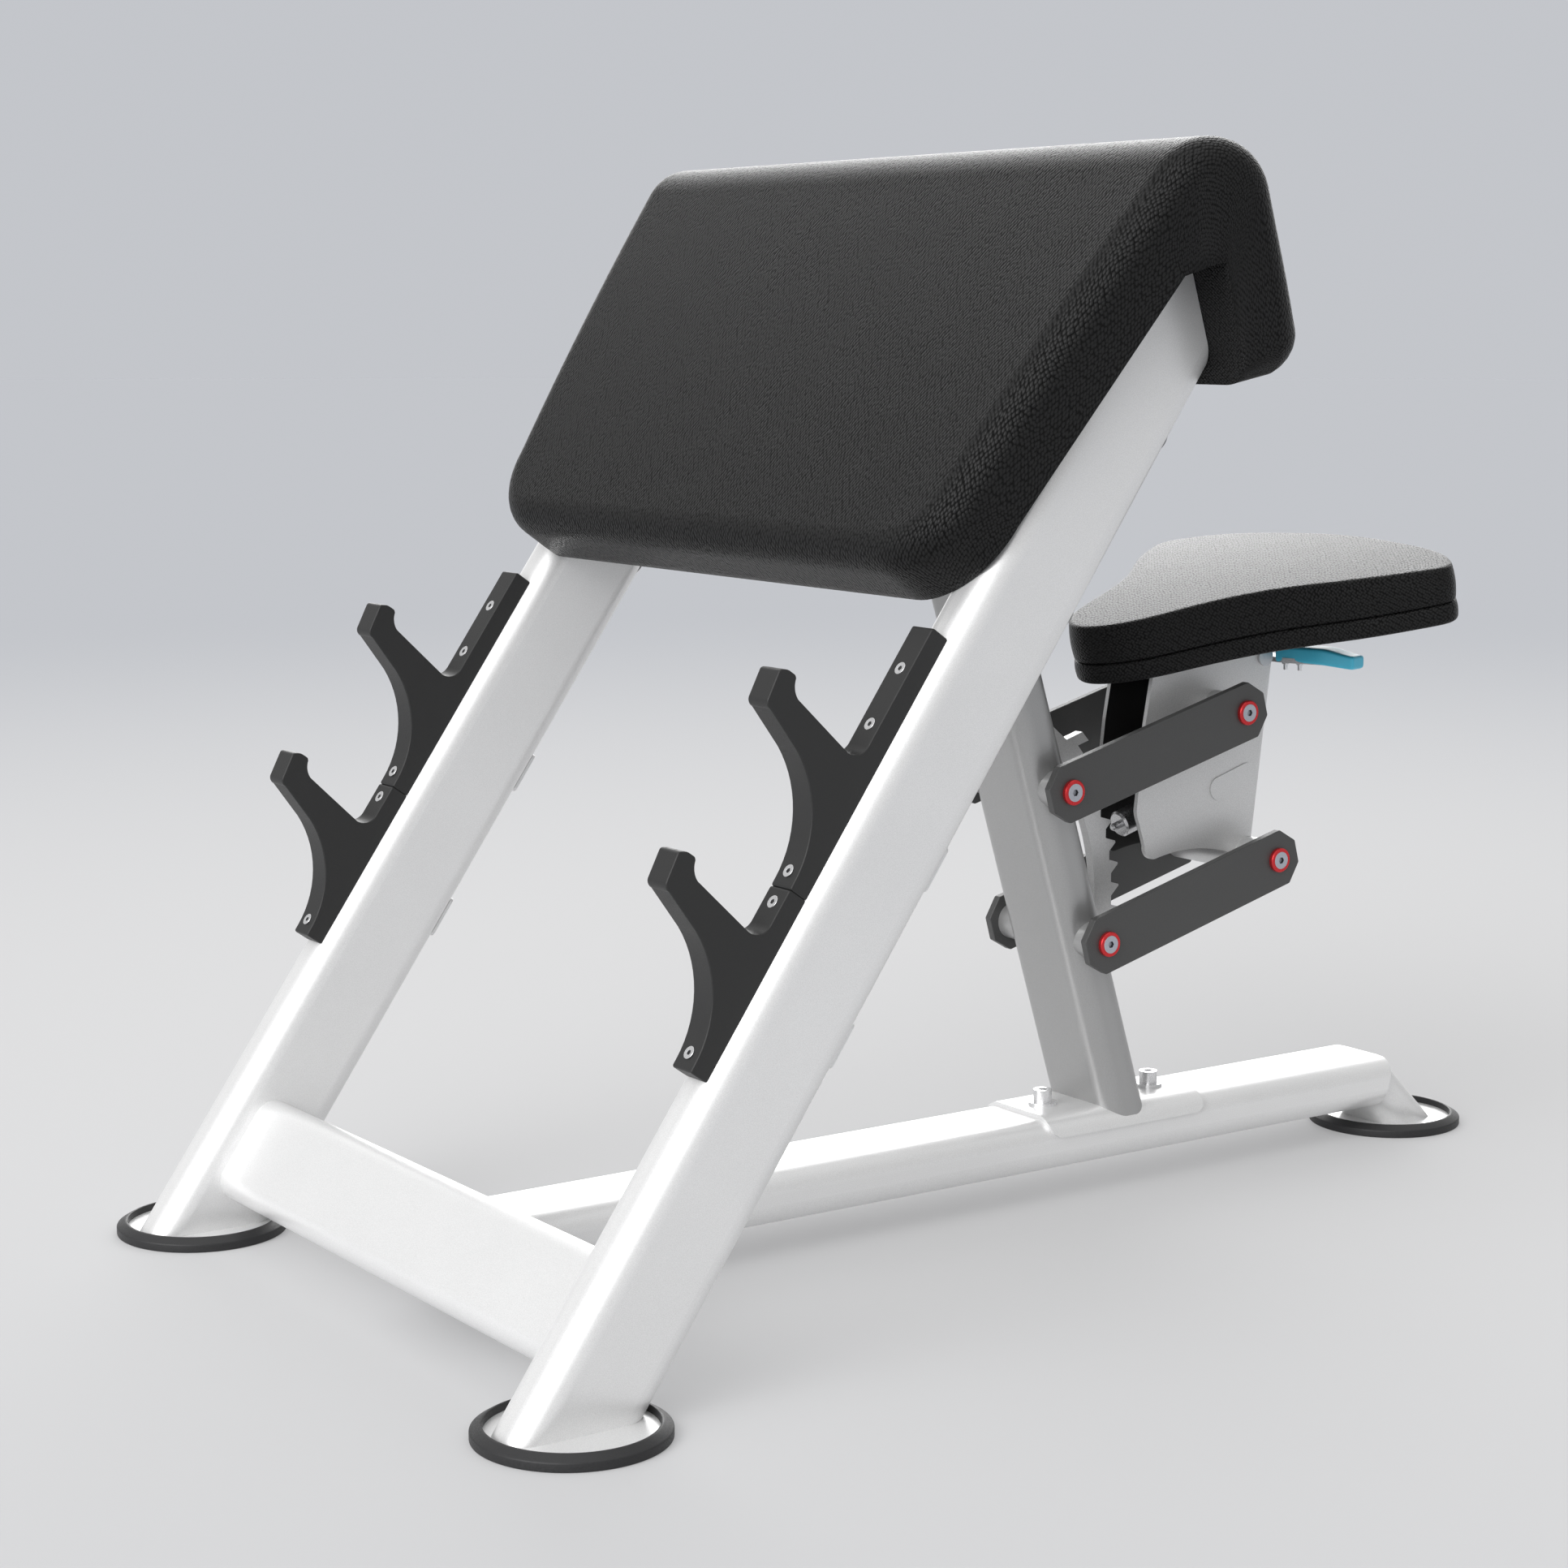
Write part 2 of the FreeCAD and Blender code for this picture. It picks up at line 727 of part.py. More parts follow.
def save_pivots(prefix, spots):
    sets = [pivot_set(spot) for spot in spots]
    for k, kind in enumerate(("bushes", "washers", "bolts")):
        near = [s[k] for s in sets]
        save(prefix + "_pivot_" + kind, Part.makeCompound(near + [mirrored(p) for p in near]))


save_pivots("post", (pivot_high, pivot_low))
save_pivots("carriage", (seat_pivot_high, seat_pivot_low))


# Link bars with chamfered ends.
def link(spot):
    h = link_width / 2
    a = -link_overhang
    b = link_length + link_overhang
    c = link_chamfer
    face = outline(
        side_point,
        (a + c, -h),
        (b - c, -h),
        (b, -h + c),
        (b, h - c),
        (b - c, h),
        (a + c, h),
        (a, h - c),
        (a, -h + c),
    )
    bar = between(face, link_inner_x, link_inner_x + link_thickness)
    for along in (0, link_length):
        bar = bar.cut(rod_x(pivot_bush_radius + pivot_clearance, link_inner_x, washer_x, along))
    return put(bar, pose(spot, link_rise))


for name, spot in (("upper", pivot_high), ("lower", pivot_low)):
    save("left_" + name + "_link", link(spot))
    save("right_" + name + "_link", mirrored(link(spot)))

# Plunger line: "along" runs back from the drawn pin's tip. The tip's path as the
# seat swings is an arc of the links' length.
pin_dir = Vec(0, math.cos(math.radians(plunger_rise)), math.sin(math.radians(plunger_rise)))
barrel_front = seat_pivot_high + Vec(0, -barrel_ahead_of_pivot, -barrel_below_pivot)
pin_tip = barrel_front - pin_dir * barrel_start
plunger_pose = pose(pin_tip, plunger_rise)


def in_plunger(shape):
    return put(shape, plunger_pose)


def rod_along(radius, start, length):
    return Part.makeCylinder(radius, length, Vec(0, start, 0), Vec(0, 1, 0))


# Toothed sector: an arched bar with notches, bridged to the post at both ends.
arc_centre = pin_tip - link_step
tip_radius = link_length - tooth_clearance
root_radius = tip_radius - tooth_height
inner_radius = root_radius - sector_bar_width


def on_arc(radius, angle):
    a = math.radians(angle)
    return (arc_centre.y + radius * math.cos(a), arc_centre.z + radius * math.sin(a))


first_angle = link_rise - sector_step * notch_count_below
last_angle = link_rise + sector_step * notch_count_above
low_angle = first_angle - sector_step * sector_lower_overrun
high_angle = last_angle + sector_step * sector_upper_overrun
middle_angle = (low_angle + high_angle) / 2
arch = outline(
    side_point,
    on_arc(inner_radius, low_angle),
    on_arc(tip_radius, low_angle),
    on_arc(tip_radius, middle_angle) + on_arc(tip_radius, high_angle),
    on_arc(inner_radius, high_angle),
    on_arc(inner_radius, middle_angle) + on_arc(inner_radius, low_angle),
)
sector = across(arch, sector_thickness / 2)
post_middle_low = post_pose.multVec(Vec(0, 0, on_arc(inner_radius, low_angle)[1]))
low_out = on_arc(tip_radius, low_angle)
low_in = on_arc(inner_radius, low_angle)
low_foot = outline(
    side_point,
    low_out,
    on_arc(tip_radius, low_angle + sector_lower_lap),
    on_arc(inner_radius, low_angle + sector_lower_root),
    (post_middle_low.y, low_in[1] + sector_lower_reach),
    (post_middle_low.y, low_in[1] - sector_lower_drop),
    (low_in[0], low_out[1]),
)
high_in = on_arc(inner_radius, high_angle)
post_middle_high = post_pose.multVec(Vec(0, 0, high_in[1]))
lug_root = Vec(0, *on_arc(tip_radius - stop_lug_inset, high_angle))
lug_out = Vec(0, math.cos(math.radians(stop_lug_rise)), math.sin(math.radians(stop_lug_rise)))
lug_up = Vec(0, -lug_out.z, lug_out.y)
lug_tip = lug_root + lug_out * stop_lug_length
lug_top = lug_tip + lug_up * stop_lug_height - lug_out * stop_lug_bevel
lug_valley = lug_root + lug_up * stop_lug_height - lug_out * stop_lug_valley
bridge_turn = math.radians(sector_bridge_slope)
bridge_top = lug_valley + Vec(0, -math.cos(bridge_turn), math.sin(bridge_turn)) * sector_bridge_length
high_foot = outline(
    side_point,
    on_arc(inner_radius, high_angle - sector_upper_root),
    on_arc(tip_radius, high_angle - sector_upper_lap),
    (lug_root.y, lug_root.z),
    (lug_tip.y, lug_tip.z),
    (lug_top.y, lug_top.z),
    (lug_valley.y, lug_valley.z),
    (bridge_top.y, bridge_top.z),
    (post_middle_high.y, high_in[1] - sector_upper_reach),
)
for foot in (low_foot, high_foot):
    sector = sector.fuse(across(foot, sector_thickness / 2))
for k in range(int(notch_count_below + notch_count_above) + 1):
    gap_angle = first_angle + sector_step * k
    shift_y = link_length * (math.cos(math.radians(gap_angle)) - math.cos(math.radians(link_rise)))
    shift_z = link_length * (math.sin(math.radians(gap_angle)) - math.sin(math.radians(link_rise)))
    root = pin_tip - pin_dir * (link_length - root_radius) + Vec(0, shift_y, shift_z)
    h = gap_root_height / 2
    up = math.tan(math.radians(tooth_under_slope)) * tooth_cut
    down = math.tan(math.radians(tooth_top_slope)) * tooth_cut
    gap = outline(
        side_point,
        (root.y, root.z - h),
        (root.y + tooth_cut, root.z - h - down),
        (root.y + tooth_cut, root.z + h + up),
        (root.y, root.z + h),
    )
    sector = sector.cut(across(gap, sector_thickness))
sector = sector.cut(post_solid).removeSplitter()
sector_pieces = sorted(sector.Solids, key=lambda s: s.Volume)
save("tooth_sector", sector_pieces[-1])

# Seat planes: the carriage is cut to the underside of the seat's mounting plate.
seat_pose = pose(seat_pivot_high + Vec(0, -seat_nose_ahead_of_pivot, seat_nose_above_pivot), seat_tilt)


def in_seat(shape):
    return put(shape, seat_pose)


seat_under = -seat_cushion_thickness - seat_board_thickness
mount_under = seat_pose.multVec(Vec(0, 0, seat_under - seat_mount_thickness))
above_mount = beyond(mount_under, seat_tilt)

# Seat carriage channel.
carriage_half = carriage_width / 2
plate_inner_x = carriage_half - carriage_plate
back_low = (seat_pivot_low.y + carriage_back_behind_pivot, seat_pivot_low.z)
back_tan = math.tan(math.radians(carriage_back_lean))
back_rise = seat_pivot_high.z - seat_pivot_low.z + carriage_over_pivots
back_high = back_low[1] + back_rise
pivot_z = seat_pivot_high.z
front_y = seat_pivot_high.y - carriage_front_behind
base_z = seat_pivot_low.z + carriage_below_pivot
carriage_foot = (front_y + carriage_foot_back, base_z + carriage_foot_rise)
carriage_nose_bend = (front_y + carriage_nose_bend_back, pivot_z - carriage_nose_bend_drop)
carriage_side = outline(
    side_point,
    carriage_foot,
    (front_y + carriage_arch_back, base_z + carriage_arch_rise, front_y + carriage_heel_back, base_z),
    (seat_pivot_low.y, seat_pivot_low.z - carriage_pivot_cover),
    back_low,
    (back_low[0] + back_rise * back_tan, back_high),
    (front_y + carriage_top_back, back_high),
    (front_y + carriage_brow_back, pivot_z + carriage_brow_rise),
    (front_y + carriage_cheek_back, pivot_z - carriage_cheek_drop),
    (front_y + carriage_nose_back, pivot_z - carriage_nose_drop),
    carriage_nose_bend + (front_y + carriage_lip_back, pivot_z - carriage_lip_drop),
    (front_y + carriage_chin_back, pivot_z - carriage_chin_drop),
    (front_y + carriage_foot_bend_back, base_z + carriage_foot_bend_rise) + carriage_foot,
)
channel = across(carriage_side, carriage_half)
outer_bends = [
    e for e in channel.Edges
    if e.Length > back_rise * 0.9
    and abs(abs(e.CenterOfMass.x) - carriage_half) < 0.1
    and e.CenterOfMass.y > seat_pivot_low.y
]
channel = channel.makeFillet(carriage_bend, outer_bends)
wall_front = carriage_plate / math.cos(math.radians(carriage_back_lean))
inner_y = back_low[0] - wall_front
inside = outline(
    side_point,
    (front_y - cut_room, back_low[1] - cut_room),
    (inner_y - cut_room * back_tan, back_low[1] - cut_room),
    (inner_y + back_rise * back_tan, back_high),
    (front_y - cut_room, back_high),
)
channel = channel.cut(across(inside, plate_inner_x))
lever_spot = seat_pivot_high + Vec(0, lever_behind_pivot, lever_above_pivot)
window_spot = Vec(-plate_inner_x, inner_y, lever_spot.z - carriage_window_below_lever)
window = Part.makeBox(2 * plate_inner_x, cut_room, back_rise, window_spot)
foot_spot = Vec(-plate_inner_x, inner_y - cut_room, back_low[1] + carriage_wall_bottom - back_rise)
wall_foot = Part.makeBox(2 * plate_inner_x, 2 * cut_room, back_rise, foot_spot)
channel = channel.cut(window).cut(wall_foot).cut(above_mount)
for spot in (seat_pivot_low, seat_pivot_high):
    channel = channel.cut(rod_x(pivot_bar_radius, -bar_end_x, bar_end_x, spot.y, spot.z))

# Plunger block: a rounded bar through both channel plates, pocketed behind.
r = block_height / 2
straight = block_length / 2 - r
block_face = outline(
    side_point,
    (block_centre - straight, -r),
    (block_centre + straight, -r),
    (block_centre + straight + r, 0, block_centre + straight, r),
    (block_centre - straight, r),
    (block_centre - straight - r, 0, block_centre - straight, -r),
)
block_half = carriage_half + block_stand_out
block_solid = across(block_face, block_half)
block_start = block_centre - block_length / 2
pocket_start = block_start + block_bar_length
pocket = Part.makeBox(
    2 * block_pocket_half, block_length, 3 * r, Vec(-block_pocket_half, pocket_start, -1.5 * r)
)
barrel_end = barrel_start + barrel_length
neck_end = pocket_start - block_pocket_wall
barrel_bore = rod_along(pin_radius + barrel_clearance, 0, block_centre)
block = block_solid.cut(pocket).cut(rod_along(barrel_neck_radius, 0, neck_end))
block = block.cut(rod_along(pin_radius + barrel_clearance, neck_end, block_length))
channel = channel.cut(in_plunger(block_solid))
shaft = rod_x(lever_shaft_radius, -carriage_half, carriage_half, lever_spot.y, lever_spot.z)
channel = channel.cut(shaft)
for x0 in (-carriage_half - lever_shaft_head, carriage_half):
    x1 = x0 + lever_shaft_head
    shaft = shaft.fuse(rod_x(lever_shaft_head_radius, x0, x1, lever_spot.y, lever_spot.z))
save("carriage_channel", channel)
save("plunger_block", in_plunger(block))
save("lever_shaft", shaft.removeSplitter())
for name, spot in (("upper", seat_pivot_high), ("lower", seat_pivot_low)):
    save(name + "_carriage_pivot", pivot_bar(spot, bar_end_x))

# Plunger barrel: bored for the pin, with a wider spring chamber behind its nose.
chamber_start = barrel_start + chamber_behind_nose
chamber_length = barrel_length - chamber_behind_nose - chamber_end_wall
barrel = rod_along(barrel_radius, barrel_start, barrel_length)
barrel = barrel.fuse(rod_along(barrel_neck_radius, barrel_end, neck_end - barrel_end)).removeSplitter()
nose = [e for e in barrel.Edges if abs(e.CenterOfMass.y - barrel_start) < 0.1 and len(e.Vertexes) == 1]
barrel = barrel.makeChamfer(barrel_nose_chamfer, nose).cut(barrel_bore)
chamber_radius = pin_flange_radius + spring_clearance
barrel = barrel.cut(rod_along(chamber_radius, chamber_start, chamber_length))
save("plunger_barrel", in_plunger(barrel))

# Lock pin: nose, spring flange, rod, and two collars that the lever's fingers sit between.
collar_second = collar_first + collar_length + collar_gap
pin = rod_along(pin_radius, 0, collar_second + collar_length + pin_tail)
tip_edge = [e for e in pin.Edges if abs(e.CenterOfMass.y) < 0.1 and len(e.Vertexes) == 1]
pin = pin.makeChamfer(pin_tip_chamfer, tip_edge)
for start in (collar_first, collar_second):
    pin = pin.fuse(rod_along(collar_radius, start, collar_length))
flange_start = chamber_start + pin_travel + pin_flange_gap
pin = pin.fuse(rod_along(pin_flange_radius, flange_start, pin_flange_length)).removeSplitter()
save("lock_pin", in_plunger(pin))

# Release lever crank: a sleeve on the shaft and two arms with fingers.
finger_along = collar_first + collar_length + collar_gap / 2
finger_spot = pin_tip + pin_dir * finger_along
arm_reach = finger_spot - lever_spot
arm_angle = math.degrees(math.atan2(arm_reach.z, arm_reach.y))
arm_length = arm_reach.Length
pin_up = Vec(0, -pin_dir.z, pin_dir.y)
sleeve = rod_x(lever_sleeve_radius, -lever_sleeve_half, lever_sleeve_half, lever_spot.y, lever_spot.z)


def crank_point(along, up):
    at = finger_spot + pin_dir * along + pin_up * up
    return (at.y, at.z)


half_finger = lever_finger_width / 2
half_arm = lever_arm_width / 2
arm_face = outline(
    side_point,
    crank_point(-half_finger, -lever_finger_past + half_finger),
    crank_point(0, -lever_finger_past) + crank_point(half_finger, -lever_finger_past + half_finger),
    crank_point(half_finger, collar_radius + lever_finger_root),
    (lever_spot.y + half_arm, lever_spot.z),
    (lever_spot.y - half_arm, lever_spot.z),
    crank_point(-half_finger - half_arm, collar_radius + lever_arm_root),
    crank_point(-half_finger, collar_radius + lever_finger_root),
)
crank = sleeve
for x0 in (lever_arm_inner, -lever_arm_inner - lever_arm_thickness):
    crank = crank.fuse(between(arm_face, x0, x0 + lever_arm_thickness))
bore_radius = lever_shaft_radius + lever_clearance
lever_bore = rod_x(bore_radius, -carriage_half, carriage_half, lever_spot.y, lever_spot.z)
crank = crank.removeSplitter().cut(lever_bore)
save("lever_crank", crank)

# Lever handle: flat plate out of the channel's back, turned to the user's left.
handle_low = lever_spot.z - handle_drop
y_in = lever_spot.y
y_edge = lever_spot.y + handle_behind
turn_cos = math.cos(math.radians(handle_turn))
turn_sin = math.sin(math.radians(handle_turn))
bend_x = handle_straight
end_x = bend_x + handle_turned * turn_cos
end_y = y_edge + handle_turned * turn_sin
handle_face = outline(
    plan_point,
    (-handle_root_half, y_in),
    (handle_root_half, y_in),
    (handle_root_half, y_edge),
    (bend_x, y_edge),
    (end_x, end_y),
    (end_x - handle_width * turn_sin, end_y + handle_width * turn_cos),
    (bend_x - handle_width * math.tan(math.radians(handle_turn / 2)), y_edge + handle_width),
    (-handle_root_half, y_edge + handle_width),
)
handle = handle_face.extrude(Vec(0, 0, handle_thickness))
handle.translate(Vec(0, 0, handle_low))
sleeve_way = rod_x(lever_sleeve_radius, -carriage_half, carriage_half, lever_spot.y, lever_spot.z)
handle = handle.cut(sleeve_way)

# Lever grip: a moulded paddle on the handle, with a drooping tip.
handle_top = handle_low + handle_thickness
mid_y = y_edge + handle_width / 2
grip_turn = handle_turn * grip_turn_share
grip_base = Vec(0, mid_y - grip_ahead_of_middle, handle_top)
grip_pose = FreeCAD.Placement(grip_base, FreeCAD.Rotation(Vec(0, 0, 1), grip_turn))
g0 = grip_start
g1 = grip_start + grip_length
over = handle_turned + handle_straight + grip_past_handle
grip_slope = (g1 - grip_slope_middle, grip_top_height - grip_slope_drop)
grip_face = outline(
    lambda x, z: Vec(x, 0, z),
    (g0, 0),
    (over, 0),
    (over + grip_step, -handle_thickness),
    (g1 - grip_tip_flat, -grip_droop),
    (g1, -grip_droop + grip_tip_bend, g1 - grip_tip_back, -grip_droop + grip_tip_height),
    grip_slope + (g1 - grip_slope_start, grip_top_height),
    (g0 + grip_root_run, grip_root_height),
    (g0 + grip_root_bend, grip_root_height - grip_root_bend, g0, grip_root_height - grip_root_corner),
)
grip = grip_face.extrude(Vec(0, grip_width, 0))
grip.translate(Vec(0, -grip_width / 2, 0))
grip = put(grip, grip_pose)
grip_screws = []
for along in (grip_screw_first, grip_screw_first + grip_screw_spacing):
    at = grip_pose.multVec(Vec(along, 0, 0))
    under_handle = Vec(at.x, at.y, handle_low)
    head_low = Vec(at.x, at.y, handle_low - grip_screw_head)
    head = Part.makeCylinder(grip_screw_head_radius, grip_screw_head, head_low)
    shank = Part.makeCylinder(grip_screw_radius, handle_thickness + grip_screw_bite, under_handle)
    grip_screws.append(head.fuse(shank).removeSplitter())
for screw in grip_screws:
    grip = grip.cut(screw)
    handle = handle.cut(screw)
save("lever_handle", handle)
save("lever_grip", grip.cut(handle))
save("grip_screws", Part.makeCompound(grip_screws))


# Seat outline, from its nose to its rear corners.
def seat_outline():
    shares = [
        (seat_nose_half_share, seat_nose_share),
        (seat_waist_half_share, seat_waist_share),
        (seat_hip_half_share, seat_hip_share),
        (seat_flank_half_share, seat_flank_share),
        (seat_corner_half_share, seat_corner_share),
        (1, (seat_corner_share + seat_rear_corner_share) / 2),
        (seat_rear_half_share, seat_rear_corner_share),
        (seat_rear_half_share / 2, 1 - seat_rear_bow_share),
    ]
    half = [(seat_widest_half * x, seat_length * y) for x, y in shares]
    points = [plan_point(0, seat_length * seat_nose_start_share)]
    points += [plan_point(x, y) for x, y in half]
    points += [plan_point(0, seat_length)]
    points += [plan_point(-x, y) for x, y in reversed(half)]
    curve = Part.BSplineCurve()
    curve.interpolate(Points=points, PeriodicFlag=True)
    return Part.Face(Part.Wire([curve.toShape()]))


def level_edges(shape, z, tol=0.2):
    found = []
    for edge in shape.Edges:
        box = edge.BoundBox
        if abs(box.ZMin - z) < tol and abs(box.ZMax - z) < tol:
            found.append(edge)
    return found


seat_middle_back = seat_length * seat_middle_share
cushion = seat_outline().extrude(Vec(0, 0, seat_cushion_thickness + seat_crown_room))
cushion.translate(Vec(0, 0, -seat_cushion_thickness))
dome = Part.makeSphere(seat_crown_radius, Vec(0, seat_middle_back, seat_crown - seat_crown_radius))
cushion = cushion.common(dome)
top_face = max(cushion.Faces, key=lambda f: f.CenterOfMass.z)
cushion = cushion.makeFillet(seat_top_round, top_face.Edges)
cushion = cushion.makeFillet(seat_groove_round, level_edges(cushion, -seat_cushion_thickness))
seat_board = seat_outline().extrude(Vec(0, 0, seat_board_thickness))
seat_board.translate(Vec(0, 0, seat_under))
seat_board = seat_board.makeFillet(seat_groove_round, level_edges(seat_board, -seat_cushion_thickness))
seat_board = seat_board.makeFillet(seat_groove_round, level_edges(seat_board, seat_under))
mount_length = seat_mount_rear - seat_mount_front
mount = Part.makeBox(
    carriage_width, mount_length, seat_mount_thickness,
    Vec(-carriage_half, seat_mount_front, seat_under - seat_mount_thickness),
)
seat_bolts = []
bolt_back = (seat_mount_front + seat_mount_rear) / 2 - seat_bolt_ahead_of_middle
bolt_length = seat_mount_thickness + seat_bolt_depth
for x in (-seat_bolt_side, seat_bolt_side):
    for v in (bolt_back - seat_bolt_spacing / 2, bolt_back + seat_bolt_spacing / 2):
        head_z = seat_under - seat_mount_thickness
        shank = Part.makeCylinder(seat_bolt_radius, bolt_length, Vec(x, v, head_z))
        head = Part.makeCylinder(seat_bolt_head_radius, seat_bolt_head, Vec(x, v, head_z - seat_bolt_head))
        seat_bolts.append(head.fuse(shank).removeSplitter())
for bolt in seat_bolts:
    mount = mount.cut(bolt)
    seat_board = seat_board.cut(bolt)
save("seat_cushion", in_seat(cushion))
save("seat_board", in_seat(seat_board))
save("seat_mount", in_seat(mount))
save("seat_bolts", in_seat(Part.makeCompound(seat_bolts)))


# Hooks: outline in "ahead of the leg front" and "above the notch floor".
def hook(notch, stem):
    def at(ahead, above):
        return Vec(0, leg_front_n - ahead, notch + above)

    r = hook_notch_radius
    k = r * (1 - math.sqrt(0.5))
    lip_bend = (hook_arm_reach + hook_lip_bend_reach, hook_arm_rise + hook_lip_bend_rise)
    chin_bend = (hook_tip_reach - hook_chin_bend_back, -hook_tip_low + hook_chin_bend_rise)
    face = outline(
        at,
        (-hook_saddle_depth, stem),
        (hook_stem, stem),
        (hook_stem, r),
        (hook_stem + k, k, hook_stem + r, 0),
        (hook_arm_reach, hook_arm_rise),
        lip_bend + (hook_lip_reach, hook_tip_height - hook_lip_bevel),
        (hook_lip_reach + hook_lip_bevel, hook_tip_height),
        (hook_tip_reach - hook_tip_slope, hook_tip_height),
        (hook_tip_reach, hook_tip_height - hook_tip_slope_drop),
        (hook_tip_reach - hook_chin_lean, -hook_tip_low + hook_chin_height),
        chin_bend + (hook_tip_reach - hook_chin_back, -hook_tip_low),
        (hook_belly_start, -hook_belly_drop),
        (hook_stem + hook_belly_out, -hook_belly_middle, hook_stem, -hook_belly_end),
        (hook_stem, -hook_tail),
        (-hook_saddle_depth, -hook_tail),
    )
    return across(face, hook_thickness / 2)


def hook_screw(along):
    front = leg_front_n - hook_stem
    cone = Part.makeCone(
        hook_screw_radius, hook_screw_shank, hook_screw_sink, Vec(0, front, along), Vec(0, 1, 0)
    )
    shank = Part.makeCylinder(hook_screw_shank, hook_screw_length, Vec(0, front, along), Vec(0, 1, 0))
    recess = hexagon(hook_socket_across, hook_socket_depth)
    recess = put(recess, FreeCAD.Placement(Vec(0, front + hook_socket_depth, along), turn_x(90)))
    return cone.fuse(shank).removeSplitter().cut(recess), cone.fuse(shank)


def on_left_leg(shape):
    return in_leg(put(shape, FreeCAD.Placement(Vec(leg_x, 0, 0), FreeCAD.Rotation())))


screws = []
hook_sets = (
    ("upper", hook_upper_notch, hook_upper_stem, (hook_upper_stem - hook_screw_top, hook_screw_notch)),
    ("lower", hook_lower_notch, hook_lower_stem, (hook_screw_notch,)),
)
leg_with_screws = left_leg
for name, notch, stem, spots in hook_sets:
    body = on_left_leg(hook(notch, stem)).cut(leg_solid)
    for above in spots + (-hook_tail + hook_screw_tail,):
        screw, way = hook_screw(notch + above)
        screws.append(on_left_leg(screw))
        body = body.cut(on_left_leg(way))
        leg_with_screws = leg_with_screws.cut(on_left_leg(way))
    save("left_" + name + "_hook", body)
    save("right_" + name + "_hook", mirrored(body))
save("hook_screws", Part.makeCompound(screws + [mirrored(s) for s in screws]))
save("left_leg", leg_with_screws)
save("right_leg", mirrored(leg_with_screws))

# Cover plates on the leg backs.
covers = []
for along in (cover_upper_along, cover_lower_along):
    plate = rounded_bar(cover_width, cover_length, cover_corner, cover_thickness)
    plate = put(plate, FreeCAD.Placement(Vec(0, leg_back_n, along), turn_x(-90)))
    covers.append(on_left_leg(plate))
save("leg_covers", Part.makeCompound(covers + [mirrored(p) for p in covers]))

# Arm pad: side outline first, then cut to its tapered front view and rounded.
front_n = leg_front_n - pad_slab_thickness
lean_sum = math.cos(math.radians(leg_lean + pad_flange_lean))
roof_front = notch_corner - flange_out * (pad_notch_width / lean_sum)
flange_in_low = notch_corner + flange_down * pad_flange_length
flange_out_low = flange_in_low + flange_out * pad_flange_thickness
slab_low = leg_pose.multVec(Vec(0, leg_front_n, pad_bottom_along))
front_low = leg_pose.multVec(Vec(0, front_n, pad_bottom_along))
low_local = leg_pose.inverse().multVec(flange_out_low)
outer_lean = math.radians(pad_flange_lean + pad_flange_spread)
outer_up = Vec(0, -math.sin(outer_lean), math.cos(outer_lean))
up_local = leg_pose.inverse().Rotation.multVec(outer_up)
apex_step = (front_n - low_local.y) / up_local.y
apex = flange_out_low + outer_up * apex_step
crown_mid = (front_low + apex) * 0.5 - leg_pose.Rotation.multVec(Vec(0, 1, 0)) * pad_crown
pad_face = outline(
    side_point,
    (slab_low.y, slab_low.z),
    (roof_front.y, roof_front.z),
    (notch_corner.y, notch_corner.z),
    (flange_in_low.y, flange_in_low.z),
    (flange_out_low.y, flange_out_low.z),
    (apex.y, apex.z),
    (crown_mid.y, crown_mid.z, front_low.y, front_low.z),
)
pad_body = across(pad_face, pad_bottom_half * 2)
pad_body = pad_body.makeFillet(pad_ridge_round, edges_at(pad_body, apex.y, apex.z))
pad_body = pad_body.makeFillet(pad_flange_corner, edges_at(pad_body, flange_out_low.y, flange_out_low.z))
taper = math.tan(math.radians(pad_taper))
plan_top = pad_notch_along + 2 * tube_wide


def front_view(inset, corner, start, end):
    low_half = pad_bottom_half - inset + taper * (start - pad_bottom_along)
    top_half = pad_bottom_half - inset + taper * (end - pad_bottom_along)
    face = outline(
        lambda x, s: Vec(x, 0, s),
        (-low_half, start),
        (low_half, start),
        (top_half, end),
        (-top_half, end),
    )
    block = face.extrude(Vec(0, -BIG, 0))
    block.translate(Vec(0, BIG / 2, 0))
    low_corners = [
        e for e in block.Edges
        if abs(e.CenterOfMass.z - start) < 0.1 and abs(abs(e.CenterOfMass.x) - low_half) < 0.1
    ]
    return block.makeFillet(corner, low_corners)


pad_plan = in_leg(front_view(0, pad_corner, pad_bottom_along, plan_top))
arm_pad = pad_body.common(pad_plan).removeSplitter().Solids[0]
leg_n = leg_pose.Rotation.multVec(Vec(0, 1, 0))
leg_s = leg_pose.Rotation.multVec(Vec(0, 0, 1))


def face_normal(face):
    u0, u1, v0, v1 = face.ParameterRange
    return face.normalAt((u0 + u1) / 2, (v0 + v1) / 2)


